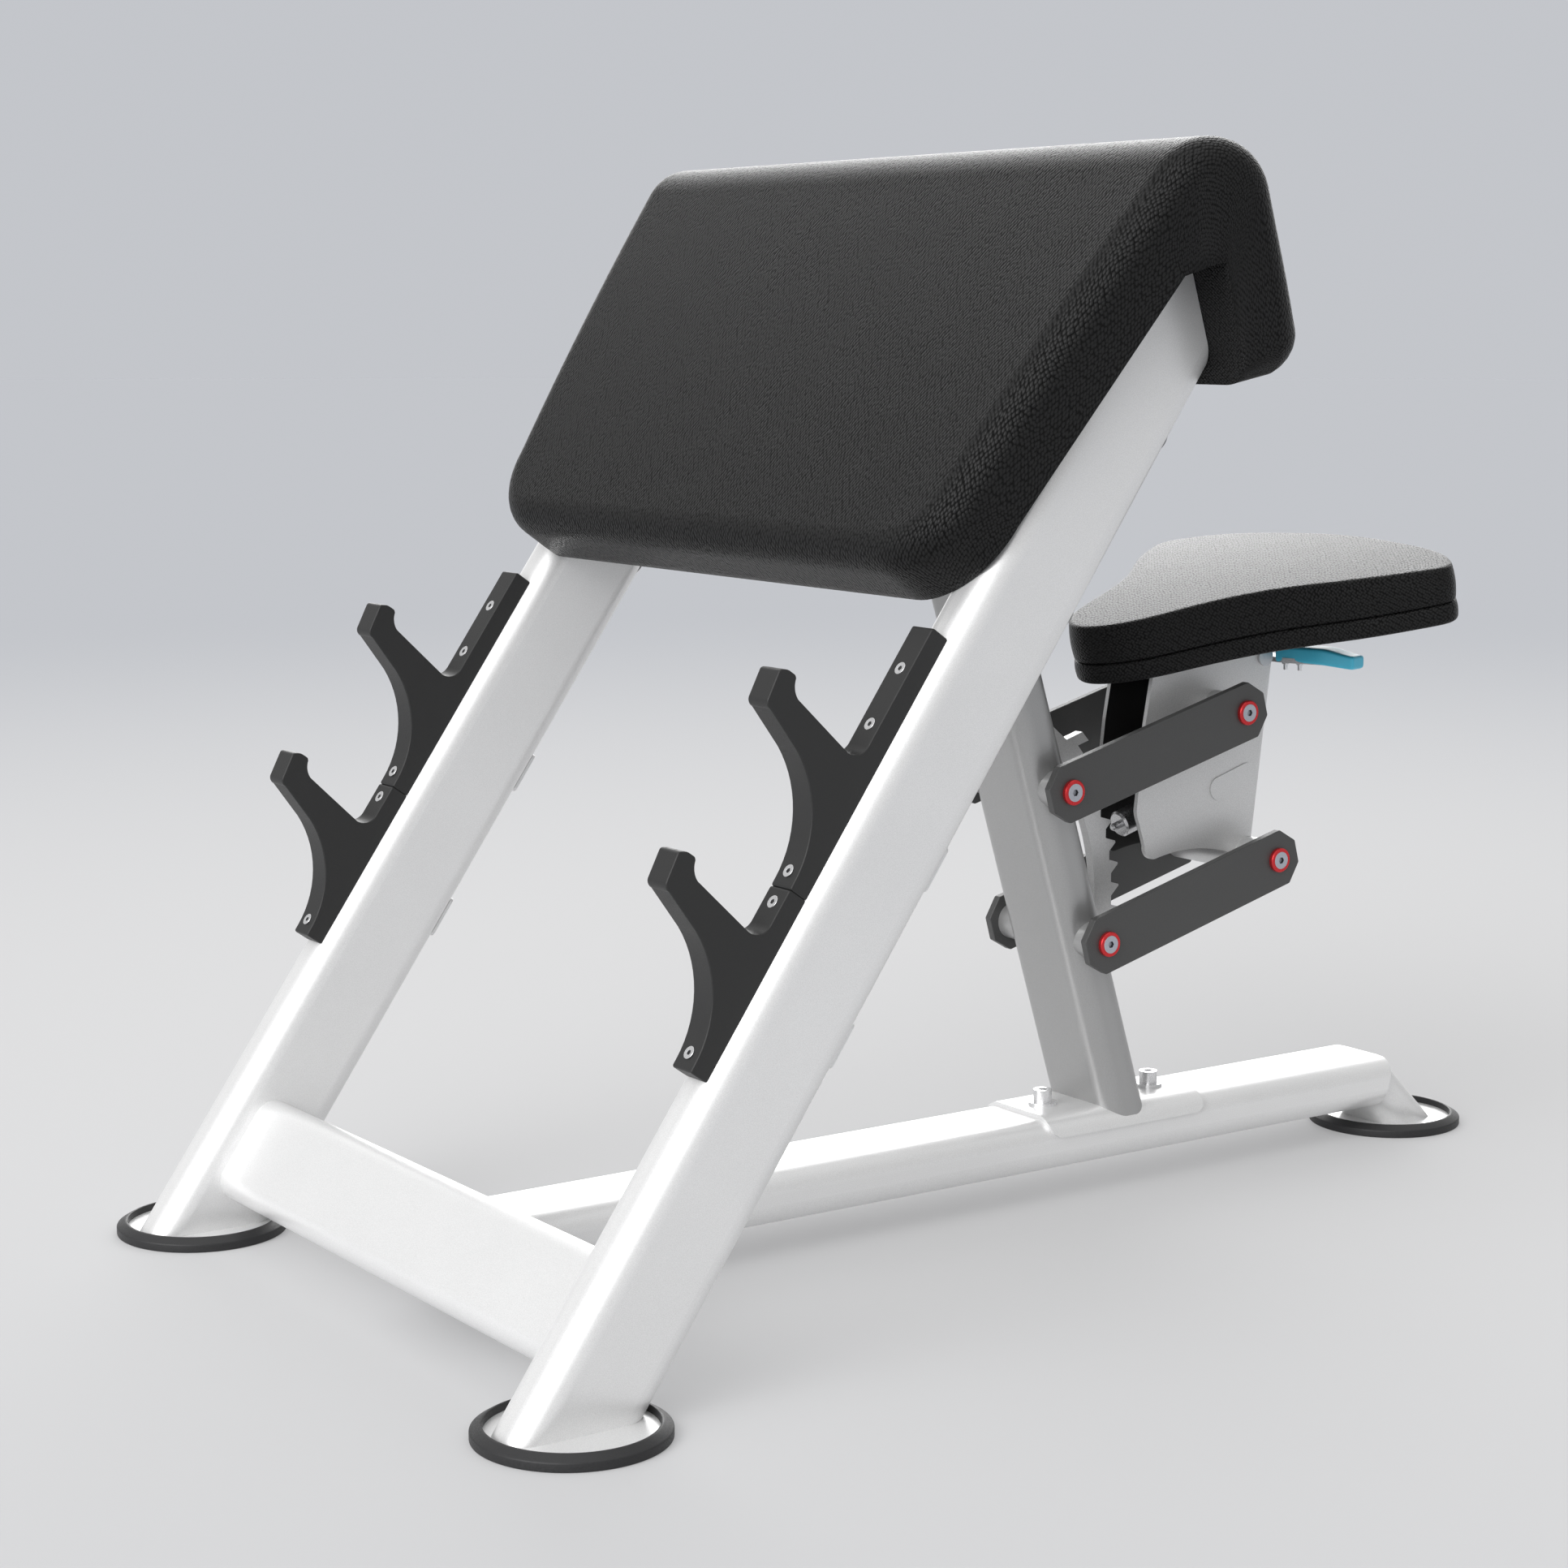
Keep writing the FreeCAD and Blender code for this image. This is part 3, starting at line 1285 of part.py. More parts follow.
rim = []
for edge in arm_pad.Edges:
    sides = arm_pad.ancestorsOfType(edge, Part.Face)
    walls = 0
    tops = 0
    for face in sides:
        n = face_normal(face)
        on_flange = (face.CenterOfMass - notch_corner).dot(flange_out) > 1
        if abs(n.x) > 0.3 or (n.dot(leg_s) < -0.95 and not on_flange):
            walls += 1
        elif n.dot(leg_n) < -0.8 or n.z > 0.8 or (n.dot(flange_out) > 0.3 and on_flange):
            tops += 1
    if walls == 1 and tops == 1:
        rim.append(edge)
arm_pad = arm_pad.makeFillet(pad_edge_round, rim)
board_start = pad_bottom_along + pad_board_inset
board_plan = front_view(pad_board_inset, pad_board_corner, board_start, board_start + pad_board_length)
board_slab = Part.makeBox(
    BIG, pad_board_thickness, BIG, Vec(-BIG / 2, leg_front_n - pad_board_thickness, -BIG / 2)
)
board = in_leg(board_plan.common(board_slab))
arm_pad = arm_pad.cut(board)
for way in pad_bolt_ways:
    board = board.cut(way).cut(mirrored(way))
save("arm_pad", arm_pad)
save("arm_pad_board", board)
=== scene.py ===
import math

import bpy
import numpy as np
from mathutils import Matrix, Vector


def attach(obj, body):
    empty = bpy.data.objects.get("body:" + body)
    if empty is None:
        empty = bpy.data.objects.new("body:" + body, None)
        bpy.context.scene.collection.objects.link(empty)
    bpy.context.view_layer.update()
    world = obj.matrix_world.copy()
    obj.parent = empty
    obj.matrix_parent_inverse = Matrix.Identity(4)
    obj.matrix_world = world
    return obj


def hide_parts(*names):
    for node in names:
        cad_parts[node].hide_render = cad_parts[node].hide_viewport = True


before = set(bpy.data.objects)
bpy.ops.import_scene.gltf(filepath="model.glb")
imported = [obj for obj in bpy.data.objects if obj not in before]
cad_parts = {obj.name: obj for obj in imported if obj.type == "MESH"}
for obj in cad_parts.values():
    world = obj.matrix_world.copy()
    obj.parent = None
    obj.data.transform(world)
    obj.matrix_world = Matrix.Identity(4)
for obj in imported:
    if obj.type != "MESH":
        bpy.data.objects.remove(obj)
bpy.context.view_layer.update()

# Welded frame: legs, cross tubes, beam, strut, post, saddle and foot plates are
# flat-oval steel tube and plate, cut to fit and welded, then sprayed with a silver
# powder coat that shows a fine metallic fleck and a faint orange peel.


def new_group(name, inputs, outputs):
    """Empty shader group with named sockets, the values given to it, and its result node."""
    tree = bpy.data.node_groups.new(name, "ShaderNodeTree")
    for label, kind, value in inputs:
        tree.interface.new_socket(label, in_out="INPUT", socket_type=kind).default_value = value
    for label, kind in outputs:
        tree.interface.new_socket(label, in_out="OUTPUT", socket_type=kind)
    return tree, tree.nodes.new("NodeGroupInput").outputs, tree.nodes.new("NodeGroupOutput")


def connect(tree, socket, value):
    """Gives an input its value, or links it where the value is the output of another node."""
    if isinstance(value, bpy.types.NodeSocket):
        tree.links.new(value, socket)
    else:
        socket.default_value = value


def feed(tree, node, **values):
    """Gives named inputs of a node their values or links."""
    for label, value in values.items():
        connect(tree, node.inputs[label.replace("_", " ")], value)


def add_node(tree, kind, settings=None, **values):
    """One shader node, with its settings and the values or links of its inputs."""
    made = tree.nodes.new(kind)
    for label, value in (settings or {}).items():
        setattr(made, label, value)
    feed(tree, made, **values)
    return made


def object_place(tree):
    """The point's own Object coordinates."""
    return add_node(tree, "ShaderNodeTexCoord").outputs["Object"]


def scaled_noise(tree, point, scale, detail):
    """Noise of one scale over the points."""
    noise = add_node(tree, "ShaderNodeTexNoise", Vector=point, Scale=scale, Detail=detail, Roughness=0.55)
    return noise.outputs["Fac"]


def spread(tree, value, start, end, low, high):
    """Value from start to end spread over low to high, and held there beyond."""
    made = add_node(
        tree, "ShaderNodeMapRange", Value=value, From_Min=start, From_Max=end, To_Min=low, To_Max=high,
    )
    return made.outputs["Result"]


def remap(tree, noise, low, high):
    """The middle of a noise spread over low to high."""
    return spread(tree, noise, 0.3, 0.7, low, high)


def math_node(tree, operation, *values):
    """Arithmetic on numbers or sockets."""
    made = add_node(tree, "ShaderNodeMath", {"operation": operation})
    for socket, value in zip(made.inputs, values):
        connect(tree, socket, value)
    return made.outputs[0]


def vector_node(tree, operation, *vectors):
    """Arithmetic on vectors or sockets; the node has a Vector and a Value to read."""
    made = add_node(tree, "ShaderNodeVectorMath", {"operation": operation})
    for socket, vector in zip(made.inputs, vectors):
        connect(tree, socket, vector)
    return made.outputs


def tinted(tree, colour, factor):
    """Colour times a factor that changes over the surface."""
    made = add_node(tree, "ShaderNodeVectorMath", {"operation": "SCALE"}, Vector=colour, Scale=factor)
    return made.outputs["Vector"]


# Fleck: fine grains lighten and darken the colour and change the gloss; broad clouds tint it.
surface_outputs = (
    ("Colour", "NodeSocketColor"), ("Roughness", "NodeSocketFloat"), ("Height", "NodeSocketFloat"),
)
fleck_group, given, result = new_group(
    "fleck",
    (
        ("Colour", "NodeSocketColor", (0.7, 0.7, 0.7, 1.0)),
        ("Grain Scale", "NodeSocketFloat", 1400.0),
        ("Grain", "NodeSocketFloat", 0.1),
        ("Gloss", "NodeSocketFloat", 0.35),
        ("Gloss Change", "NodeSocketFloat", 0.05),
    ),
    surface_outputs,
)
place = object_place(fleck_group)
grains = scaled_noise(fleck_group, place, given["Grain Scale"], 1.0)
clouds = scaled_noise(fleck_group, place, 9.0, 3.0)
peel = scaled_noise(fleck_group, place, 330.0, 1.0)
darkest = math_node(fleck_group, "SUBTRACT", 1.0, given["Grain"])
lightest = math_node(fleck_group, "ADD", 1.0, given["Grain"])
grain_shade = remap(fleck_group, grains, darkest, lightest)
shade = math_node(fleck_group, "MULTIPLY", grain_shade, remap(fleck_group, clouds, 0.985, 1.015))
duller = math_node(fleck_group, "ADD", given["Gloss"], given["Gloss Change"])
glossier = math_node(fleck_group, "SUBTRACT", given["Gloss"], given["Gloss Change"])
grain_height = math_node(fleck_group, "MULTIPLY", grains, 0.35)
feed(
    fleck_group, result,
    Colour=tinted(fleck_group, given["Colour"], shade),
    Roughness=remap(fleck_group, grains, glossier, duller),
    Height=math_node(fleck_group, "ADD", grain_height, peel),
)


def finish(name, group, values, bump, bump_depth, **fixed):
    """Material: a surface group feeds colour, roughness and bump; the rest is fixed on the shader."""
    material = bpy.data.materials.new(name)
    material.use_nodes = True
    tree = material.node_tree
    surface = add_node(tree, "ShaderNodeGroup", {"node_tree": group}, **values)
    relief = add_node(
        tree, "ShaderNodeBump", Strength=bump, Distance=bump_depth, Height=surface.outputs["Height"],
    )
    feed(
        tree, tree.nodes["Principled BSDF"],
        Base_Color=surface.outputs["Colour"],
        Roughness=surface.outputs["Roughness"],
        Normal=relief.outputs["Normal"],
        **fixed,
    )
    return material


def flecked(name, colour, grain, gloss, gloss_change, bump, bump_depth, grain_scale=1400.0, **fixed):
    """Material with the fleck: colour, strength of the grain, gloss and its change, bump."""
    values = dict(
        Colour=(*colour, 1.0), Grain_Scale=grain_scale, Grain=grain, Gloss=gloss, Gloss_Change=gloss_change,
    )
    return finish(name, fleck_group, values, bump, bump_depth, **fixed)


def dress(material, *names):
    """Gives CAD nodes that stay in view their finished material."""
    for name in names:
        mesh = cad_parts[name].data
        mesh.materials.clear()
        mesh.materials.append(material)


silver_coat = flecked(
    "silver_coat", (0.81, 0.81, 0.81), grain=0.07, gloss=0.36, gloss_change=0.05,
    bump=0.12, bump_depth=0.0002, Metallic=0.5,
)
dress(
    silver_coat,
    "left_leg", "right_leg", "left_leg_cap", "right_leg_cap", "front_cross_tube", "upper_cross_tube",
    "base_beam", "rear_strut", "saddle_plate", "leg_covers",
    "left_foot_plate", "right_foot_plate", "rear_foot_plate",
)

# Seat post and its pivot bars: the same tube and coat as the legs, with a darker colour that is painted
# shade, as the post stands in the shade of the arm pad and the seat.

post_coat_painted_shade = flecked(
    "post_coat_painted_shade", (0.38, 0.38, 0.38), grain=0.07, gloss=0.34, gloss_change=0.04,
    bump=0.12, bump_depth=0.0002, Metallic=0.55,
)
dress(post_coat_painted_shade, "seat_post", "upper_post_pivot", "lower_post_pivot")

# Foot rings: black rubber, moulded with a bevelled lip that stands a little over
# the steel foot plate; each is pressed over its plate and takes the floor.


def grid_faces(rows, columns, close_rows=False, close_columns=False):
    """Quads of a grid of points, row by row; a closed direction joins its last line to its first."""
    r = np.arange(rows if close_rows else rows - 1)[:, None]
    c = np.arange(columns if close_columns else columns - 1)[None, :]
    r_next = (r + 1) % rows
    c_next = (c + 1) % columns
    corners = (r * columns + c, r_next * columns + c, r_next * columns + c_next, r * columns + c_next)
    return np.stack(np.broadcast_arrays(*corners), -1).reshape(-1, 4)


def make_piece(name, points, faces, material, body, slot, *nodes):
    """Mesh object at the origin that rides on a body and stands for CAD nodes."""
    mesh = bpy.data.meshes.new(name)
    mesh.from_pydata(np.asarray(points).reshape(-1, 3).tolist(), [], faces)
    mesh.polygons.foreach_set("use_smooth", np.ones(len(mesh.polygons), bool))
    mesh.materials.append(material)
    piece = bpy.data.objects.new(name, mesh)
    bpy.context.scene.collection.objects.link(piece)
    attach(piece, body)
    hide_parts(*nodes)
    return piece


def level_faces(piece):
    """Keeps flat faces flat in shading where rounded rims meet them."""
    modifier = piece.modifiers.new("level_faces", "WEIGHTED_NORMAL")
    modifier.weight = 100
    modifier.keep_sharp = True


def bend_corners(points, radius, steps=4):
    """Closed outline whose sharp corners become short bends: quadratic curves set back by radius."""
    before = np.roll(points, 1, 0) - points
    after = np.roll(points, -1, 0) - points
    before_length = np.linalg.norm(before, axis=1, keepdims=True)
    after_length = np.linalg.norm(after, axis=1, keepdims=True)
    before = before / before_length
    after = after / after_length
    sharp = (before * after).sum(1) > -0.95
    set_back = np.minimum(radius, 0.45 * np.minimum(before_length, after_length))
    t = np.linspace(0, 1, steps + 1)[None, :, None]
    start = (points + before * set_back)[:, None, :]
    end = (points + after * set_back)[:, None, :]
    corner = points[:, None, :]
    bends = (1 - t) ** 2 * start + 2 * t * (1 - t) * corner + t ** 2 * end
    bends[~sharp, 0] = points[~sharp]
    keep = np.repeat(sharp[:, None], steps + 1, 1)
    keep[:, 0] = True
    return bends[keep]


def turned(profile, centre, steps):
    """Closed profile of radius and height carried round a vertical axis."""
    angle = np.linspace(0, 2 * np.pi, steps, endpoint=False)[:, None]
    x = centre[0] + profile[None, :, 0] * np.cos(angle)
    y = centre[1] + profile[None, :, 0] * np.sin(angle)
    z = centre[2] + profile[None, :, 1] + 0 * angle
    return np.stack([x, y, z], -1)


foot_y = -0.5985
foot_x = 0.33495
foot_spots = {"left": (foot_x, foot_y, 0.0), "right": (-foot_x, foot_y, 0.0), "rear": (0.0, -foot_y, 0.0)}
ring_inner = 0.0600
ring_outer = 0.0780
ring_wall = 0.0075
lip_inner = 0.0680
lip_outer = 0.0700
lip_height = 0.0123
web_height = 0.0015
ring_edge = 0.0011
ring_steps = 128
ring_corners = np.array([
    [ring_inner, 0.0], [ring_outer, 0.0], [ring_outer, ring_wall], [lip_outer, lip_height],
    [lip_inner, lip_height], [lip_inner, web_height], [ring_inner, web_height],
])
ring_section = bend_corners(ring_corners, ring_edge)
foot_rubber = flecked(
    "foot_rubber", (0.019, 0.019, 0.02), grain=0.18, gloss=0.5, gloss_change=0.09,
    grain_scale=700.0, bump=0.35, bump_depth=0.0002, Specular_IOR_Level=0.4,
)
for side, spot in foot_spots.items():
    ring_points = turned(ring_section, spot, ring_steps)
    ring_faces = grid_faces(ring_steps, len(ring_section), True, True)
    make_piece(
        f"{side}_foot_rubber", ring_points, ring_faces.tolist(), foot_rubber,
        "frame", "rubber", f"{side}_foot_ring",
    )

# Barbell hooks: black moulded plates with rounded edges, two on the front of each
# leg, hollowed at the back to sit on the tube and held by countersunk screws.


def arc_through(start, middle, end, steps):
    """Points on the circle through three points, without the first."""
    ax, ay = middle[0] - start[0], middle[1] - start[1]
    bx, by = end[0] - start[0], end[1] - start[1]
    turn = 2 * (ax * by - ay * bx)
    cx = (by * (ax * ax + ay * ay) - ay * (bx * bx + by * by)) / turn
    cy = (ax * (bx * bx + by * by) - bx * (ax * ax + ay * ay)) / turn
    radius = math.hypot(cx, cy)
    first = math.atan2(-cy, -cx)
    last = math.atan2(by - cy, bx - cx)
    sweep = (last - first) % (2 * math.pi)
    if turn < 0:
        sweep -= 2 * math.pi
    angle = first + sweep * np.linspace(0, 1, steps + 1)[1:]
    return np.stack([start[0] + cx + radius * np.cos(angle), start[1] + cy + radius * np.sin(angle)], -1)


def trace(start, *steps, arc_steps):
    """Closed outline from line ends (two numbers) and arcs through a middle point (four)."""
    runs = [np.array([start])]
    here = start
    for step in steps:
        end = step[-2:]
        runs.append(arc_through(here, step[:2], end, arc_steps) if len(step) == 4 else np.array([end]))
        here = end
    return np.concatenate(runs)


def inset(points, distance):
    """Closed anticlockwise outline moved inwards along the mitre of each corner."""
    along = np.roll(points, -1, 0) - points
    along = along / np.linalg.norm(along, axis=1, keepdims=True)
    out = np.stack([along[:, 1], -along[:, 0]], -1)
    out_before = np.roll(out, 1, 0)
    mitre = (out + out_before) / (1 + (out * out_before).sum(1, keepdims=True))
    return points - mitre * distance


def end_faces(rows, columns):
    """The two faces that close the ends of a stack of rings, the first facing back along it."""
    last = (rows - 1) * columns
    return [list(range(columns)), list(range(last + columns - 1, last - 1, -1))]


def plate(points, half, edge, rim_steps=4):
    """Thick plate from an outline: rings inset along a quarter circle at both rims, flat faces between.

    Returns points as (side offset, first, second) and faces, the first ring on the positive side."""
    t = np.linspace(0, np.pi / 2, rim_steps + 1)
    depth = edge * (1 - np.sin(t))
    level = half - edge * (1 - np.cos(t))
    rings = [np.insert(inset(points, d), 0, x, 1) for d, x in zip(depth, level)]
    rings += [np.insert(inset(points, d), 0, -x, 1) for d, x in zip(depth[::-1], level[::-1])]
    rows, count = len(rings), len(points)
    return np.stack(rings), grid_faces(rows, count, False, True).tolist() + end_faces(rows, count)


leg_lean = math.radians(35.0)
leg_x = 0.3287
leg_front = -0.0536


def on_leg(x, ahead, along):
    """World points from side offset, distance ahead of the leg's front and distance up the leg."""
    square = leg_front - ahead
    y = foot_y + square * math.cos(leg_lean) + along * math.sin(leg_lean)
    z = along * math.cos(leg_lean) - square * math.sin(leg_lean)
    return np.stack([x, y, z], -1)


hook_half = 0.0135
hook_edge = 0.0012
hook_corner = 0.0026
hook_tail = -0.1156
hook_back = -0.0025
stem_front = 0.016
upper_notch = 0.5576
upper_stem = 0.1234
lower_notch = 0.3961
lower_stem = 0.0459
hooks = {"upper": (upper_notch, upper_stem), "lower": (lower_notch, lower_stem)}
hook_plastic = flecked(
    "hook_plastic", (0.019, 0.019, 0.019), grain=0.12, gloss=0.47, gloss_change=0.06,
    grain_scale=900.0, bump=0.25, bump_depth=0.00015, Specular_IOR_Level=0.4,
)
for level, (notch, stem_top) in hooks.items():
    # Down the stem, out along the bar's rest, round the nose and back under the arm to the tail.
    hook_outline = trace(
        (hook_back, stem_top),
        (stem_front, stem_top),
        (stem_front, 0.014),
        (0.0201, 0.0041, 0.030, 0.0),
        (0.094, 0.0098),
        (0.101, 0.0145, 0.105, 0.022),
        (0.107, 0.024),
        (0.1155, 0.024),
        (0.1225, 0.020),
        (0.119, -0.0038),
        (0.1169, -0.0082, 0.112, -0.0098),
        (0.0735, -0.023),
        (0.0315, -0.0578, stem_front, -0.110),
        (stem_front, hook_tail),
        (hook_back, hook_tail),
        arc_steps=14,
    )[::-1]
    hook_points, hook_faces = plate(bend_corners(hook_outline, hook_corner), hook_half, hook_edge)
    for side, sign in (("left", 1), ("right", -1)):
        placed = on_leg(hook_points[..., 0] + sign * leg_x, hook_points[..., 1], hook_points[..., 2] + notch)
        hook = make_piece(
            f"{side}_{level}_bar_hook", placed, [f[::-1] for f in hook_faces], hook_plastic,
            "frame", "hook_moulding", f"{side}_{level}_hook",
        )
        level_faces(hook)

# Hook screws: zinc-plated countersunk screws with a hexagon socket, ten in all, driven
# through the hooks into the legs; each head stands a hair proud of the moulding.

bright_zinc = flecked(
    "bright_zinc", (0.78, 0.78, 0.79), grain=0.02, gloss=0.27, gloss_change=0.01,
    grain_scale=2500.0, bump=0.02, bump_depth=0.0001, Metallic=0.85,
)


def screw_head(radius, socket_half, socket_deep, steps):
    """Head round its axis: cone, rounded rim, face with a shallow dish, hexagon socket.

    The third number rises along the axis; the last rings close the floor of the socket."""
    angle = np.linspace(0, 2 * np.pi, steps, endpoint=False)[None, :]
    six = socket_half / np.cos((angle % (np.pi / 3)) - np.pi / 6)
    rim_shares = np.array([0.55, 0.97, 1.0, 0.985, 0.95, 0.88, 0.62])[:, None]
    rim_heights = np.array([-0.0028, -0.0006, -0.0003, -0.0001, 0.0, 0.0, -0.0002])[:, None]
    socket_heights = np.array([-0.0002, -0.0004, -socket_deep, -socket_deep - 0.0001])[:, None]
    r = np.concatenate([radius * rim_shares + 0 * angle, six * 1.08, six, six * 0.97, six * 0.02])
    h = np.concatenate([rim_heights, socket_heights]) + 0 * angle
    return np.stack([r * np.cos(angle), r * np.sin(angle), h], -1)


def head_faces(rows, columns, copies):
    """Faces of some heads of one shape: the rings round each and the two ends, head after head."""
    sides = grid_faces(rows, columns, False, True)[:, ::-1]
    ends = np.stack([np.arange(columns)[::-1], (rows - 1) * columns + np.arange(columns)])
    starts = np.arange(copies)[:, None, None] * rows * columns
    faces = (sides[None] + starts).reshape(-1, 4).tolist()
    return faces + (ends[None] + starts).reshape(-1, columns).tolist()


# Dark colour for the walls and floors of the hexagon sockets: painted shade in the recess.
socket_painted_shade = flecked(
    "socket_painted_shade", (0.05, 0.052, 0.06), grain=0.05, gloss=0.4, gloss_change=0.03,
    grain_scale=900.0, bump=0.02, bump_depth=0.0001, Metallic=0.4,
)
socket_rings = 3


def make_heads(name, points, material, body, node):
    """Piece with copies of one socket head; the socket walls and floors get a darker colour, painted shade in
    the socket.
    """
    rows, columns = points.shape[-3:-1]
    copies = math.prod(points.shape[:-3])
    heads = make_piece(name, points, head_faces(rows, columns, copies), material, body, "steel", node)
    heads.data.materials.append(socket_painted_shade)
    ring = np.broadcast_to(np.arange(rows - 1)[None, :, None], (copies, rows - 1, columns))
    in_socket = (ring >= rows - 1 - socket_rings).reshape(-1)
    ends = np.tile([False, True], copies)
    heads.data.polygons.foreach_set("material_index", np.concatenate([in_socket, ends]).astype(np.int32))
    level_faces(heads)


screw_steps = 48
screw_shape = screw_head(radius=0.0055, socket_half=0.00185, socket_deep=0.0019, steps=screw_steps)
stem_face = 0.0165
tail_face = 0.0174
top_screw = 0.0844
stem_screw = 0.0330
tail_screw = -0.1012
screw_places = np.array([
    [stem_face, upper_notch + top_screw], [stem_face, upper_notch + stem_screw],
    [tail_face, upper_notch + tail_screw],
    [stem_face, lower_notch + stem_screw], [tail_face, lower_notch + tail_screw],
])
screw_sides = np.array([leg_x, -leg_x])[:, None, None, None]
screw_x = screw_sides + screw_shape[..., 0]
screw_ahead = screw_places[:, None, None, 0] + screw_shape[..., 2]
screw_along = screw_places[:, None, None, 1] + screw_shape[..., 1]
screw_points = on_leg(*np.broadcast_arrays(screw_x, screw_ahead, screw_along))
make_heads("hook_screw_heads", screw_points, bright_zinc, "frame", "hook_screws")

# Other bolts and washers: the same zinc plate, over the saddle, behind the arm pad
# and under the seat.

dress(bright_zinc, "saddle_bolts", "saddle_washers", "arm_pad_bolts", "seat_bolts")

# Seat linkage: four dark-coated flat bars with clipped corners, which turn on
# bronze bushes; a red anodised washer and a flush bolt close each pivot.

dark_coat = flecked(
    "dark_coat", (0.066, 0.066, 0.066), grain=0.1, gloss=0.45, gloss_change=0.06,
    grain_scale=1200.0, bump=0.2, bump_depth=0.00015, Metallic=0.15,
)
post_lean = math.radians(17.2)
post_floor_y = 0.2264
lower_pivot_up = 0.2647
pivot_spacing = 0.156
link_length = 0.225
link_rise = math.radians(15.3)
link_inner_x = 0.0685
link_half_thick = 0.004
link_half_width = 0.028
link_overhang = 0.0255
link_clip = 0.0165
link_corner = 0.0012
link_edge = 0.0008
link_start = -link_overhang
link_end = link_length + link_overhang
link_flat = link_half_width - link_clip
link_outline = np.array([
    [link_start + link_clip, -link_half_width], [link_end - link_clip, -link_half_width],
    [link_end, -link_flat], [link_end, link_flat],
    [link_end - link_clip, link_half_width], [link_start + link_clip, link_half_width],
    [link_start, link_flat], [link_start, -link_flat],
])
link_rim = bend_corners(link_outline, link_corner, steps=2)
link_points, link_faces = plate(link_rim, link_half_thick, link_edge, rim_steps=3)


def tilted(along, up, angle):
    """Two coordinates turned upwards by an angle."""
    sine = math.sin(angle)
    cosine = math.cos(angle)
    return along * cosine - up * sine, along * sine + up * cosine


for level, up_post in (("upper", lower_pivot_up + pivot_spacing), ("lower", lower_pivot_up)):
    link_y, link_z = tilted(link_points[..., 1], link_points[..., 2], link_rise)
    link_y = link_y + post_floor_y - up_post * math.sin(post_lean)
    link_z = link_z + up_post * math.cos(post_lean)
    for side, sign in (("left", 1), ("right", -1)):
        link_x = link_points[..., 0] + sign * (link_inner_x + link_half_thick)
        bar = make_piece(
            f"{side}_{level}_bar", np.stack([link_x, link_y, link_z], -1), link_faces, dark_coat,
            f"{level}_links", "dark_paint", f"{side}_{level}_link",
        )
        level_faces(bar)

red_anodised = flecked(
    "red_anodised", (0.62, 0.035, 0.04), grain=0.05, gloss=0.3, gloss_change=0.04,
    grain_scale=2500.0, bump=0.08, bump_depth=0.0001, Metallic=0.7,
)
dress(red_anodised, "post_pivot_washers", "carriage_pivot_washers")
bronze = flecked(
    "bronze", (0.5, 0.36, 0.17), grain=0.12, gloss=0.4, gloss_change=0.05,
    grain_scale=1800.0, bump=0.1, bump_depth=0.0001, Metallic=0.9,
)
dress(bronze, "post_pivot_bushes", "carriage_pivot_bushes")

# Pivot bolts: zinc-plated socket bolts, one in each end of the four pivot bars, whose
# heads lie flush in the red washers.

pivot_zinc = flecked(
    "pivot_zinc", (0.42, 0.44, 0.49), grain=0.02, gloss=0.36, gloss_change=0.02,
    grain_scale=700.0, bump=0.02, bump_depth=0.0001, Metallic=0.35,
)
bolt_face = 0.0810
bolt_shape = screw_head(radius=0.0085, socket_half=0.0027, socket_deep=0.0032, steps=screw_steps)
pivot_sides = np.array([1.0, -1.0])[:, None, None, None]
pivots_up = np.array([lower_pivot_up, lower_pivot_up + pivot_spacing])[None, :, None, None]
bolt_x = pivot_sides * (bolt_face + bolt_shape[..., 2])
bolt_y = post_floor_y - pivots_up * math.sin(post_lean) + pivot_sides * bolt_shape[..., 0]
bolt_z = pivots_up * math.cos(post_lean) + bolt_shape[..., 1]
bolt_points = np.stack(np.broadcast_arrays(bolt_x, bolt_y, bolt_z), -1)
link_reach = np.array([0.0, *tilted(link_length, 0.0, link_rise)])
make_heads("post_bolt_heads", bolt_points, pivot_zinc, "frame", "post_pivot_bolts")
make_heads(
    "carriage_bolt_heads", bolt_points + link_reach, pivot_zinc, "seat_carriage", "carriage_pivot_bolts",
)

# Seat carriage: a bent steel channel with cross tubes, its plunger and the cut
# tooth sector on the post, all in a duller silver coat than the frame; the inside
# of the channel is coloured near-black, painted shade between its side plates.


def mixed(tree, share, first, second):
    """Colour that goes from first to second with share; each is a colour or a socket."""
    made = add_node(tree, "ShaderNodeMix", {"data_type": "RGBA"})
    factor = 0
    first_colour = 6
    second_colour = 7
    connect(tree, made.inputs[factor], share)
    connect(tree, made.inputs[first_colour], first)
    connect(tree, made.inputs[second_colour], second)
    return made.outputs[2]


channel_inside = 0.0273
shade_blend = 0.0002
channel_shade_group, given, result = new_group(
    "inside",
    (
        ("Colour", "NodeSocketColor", (0.68, 0.68, 0.68, 1.0)),
        ("Painted Shade Colour", "NodeSocketColor", (0.03, 0.03, 0.03, 1.0)),
        ("Gloss", "NodeSocketFloat", 0.42),
    ),
    surface_outputs,
)
where = add_node(channel_shade_group, "ShaderNodeSeparateXYZ", Vector=object_place(channel_shade_group))
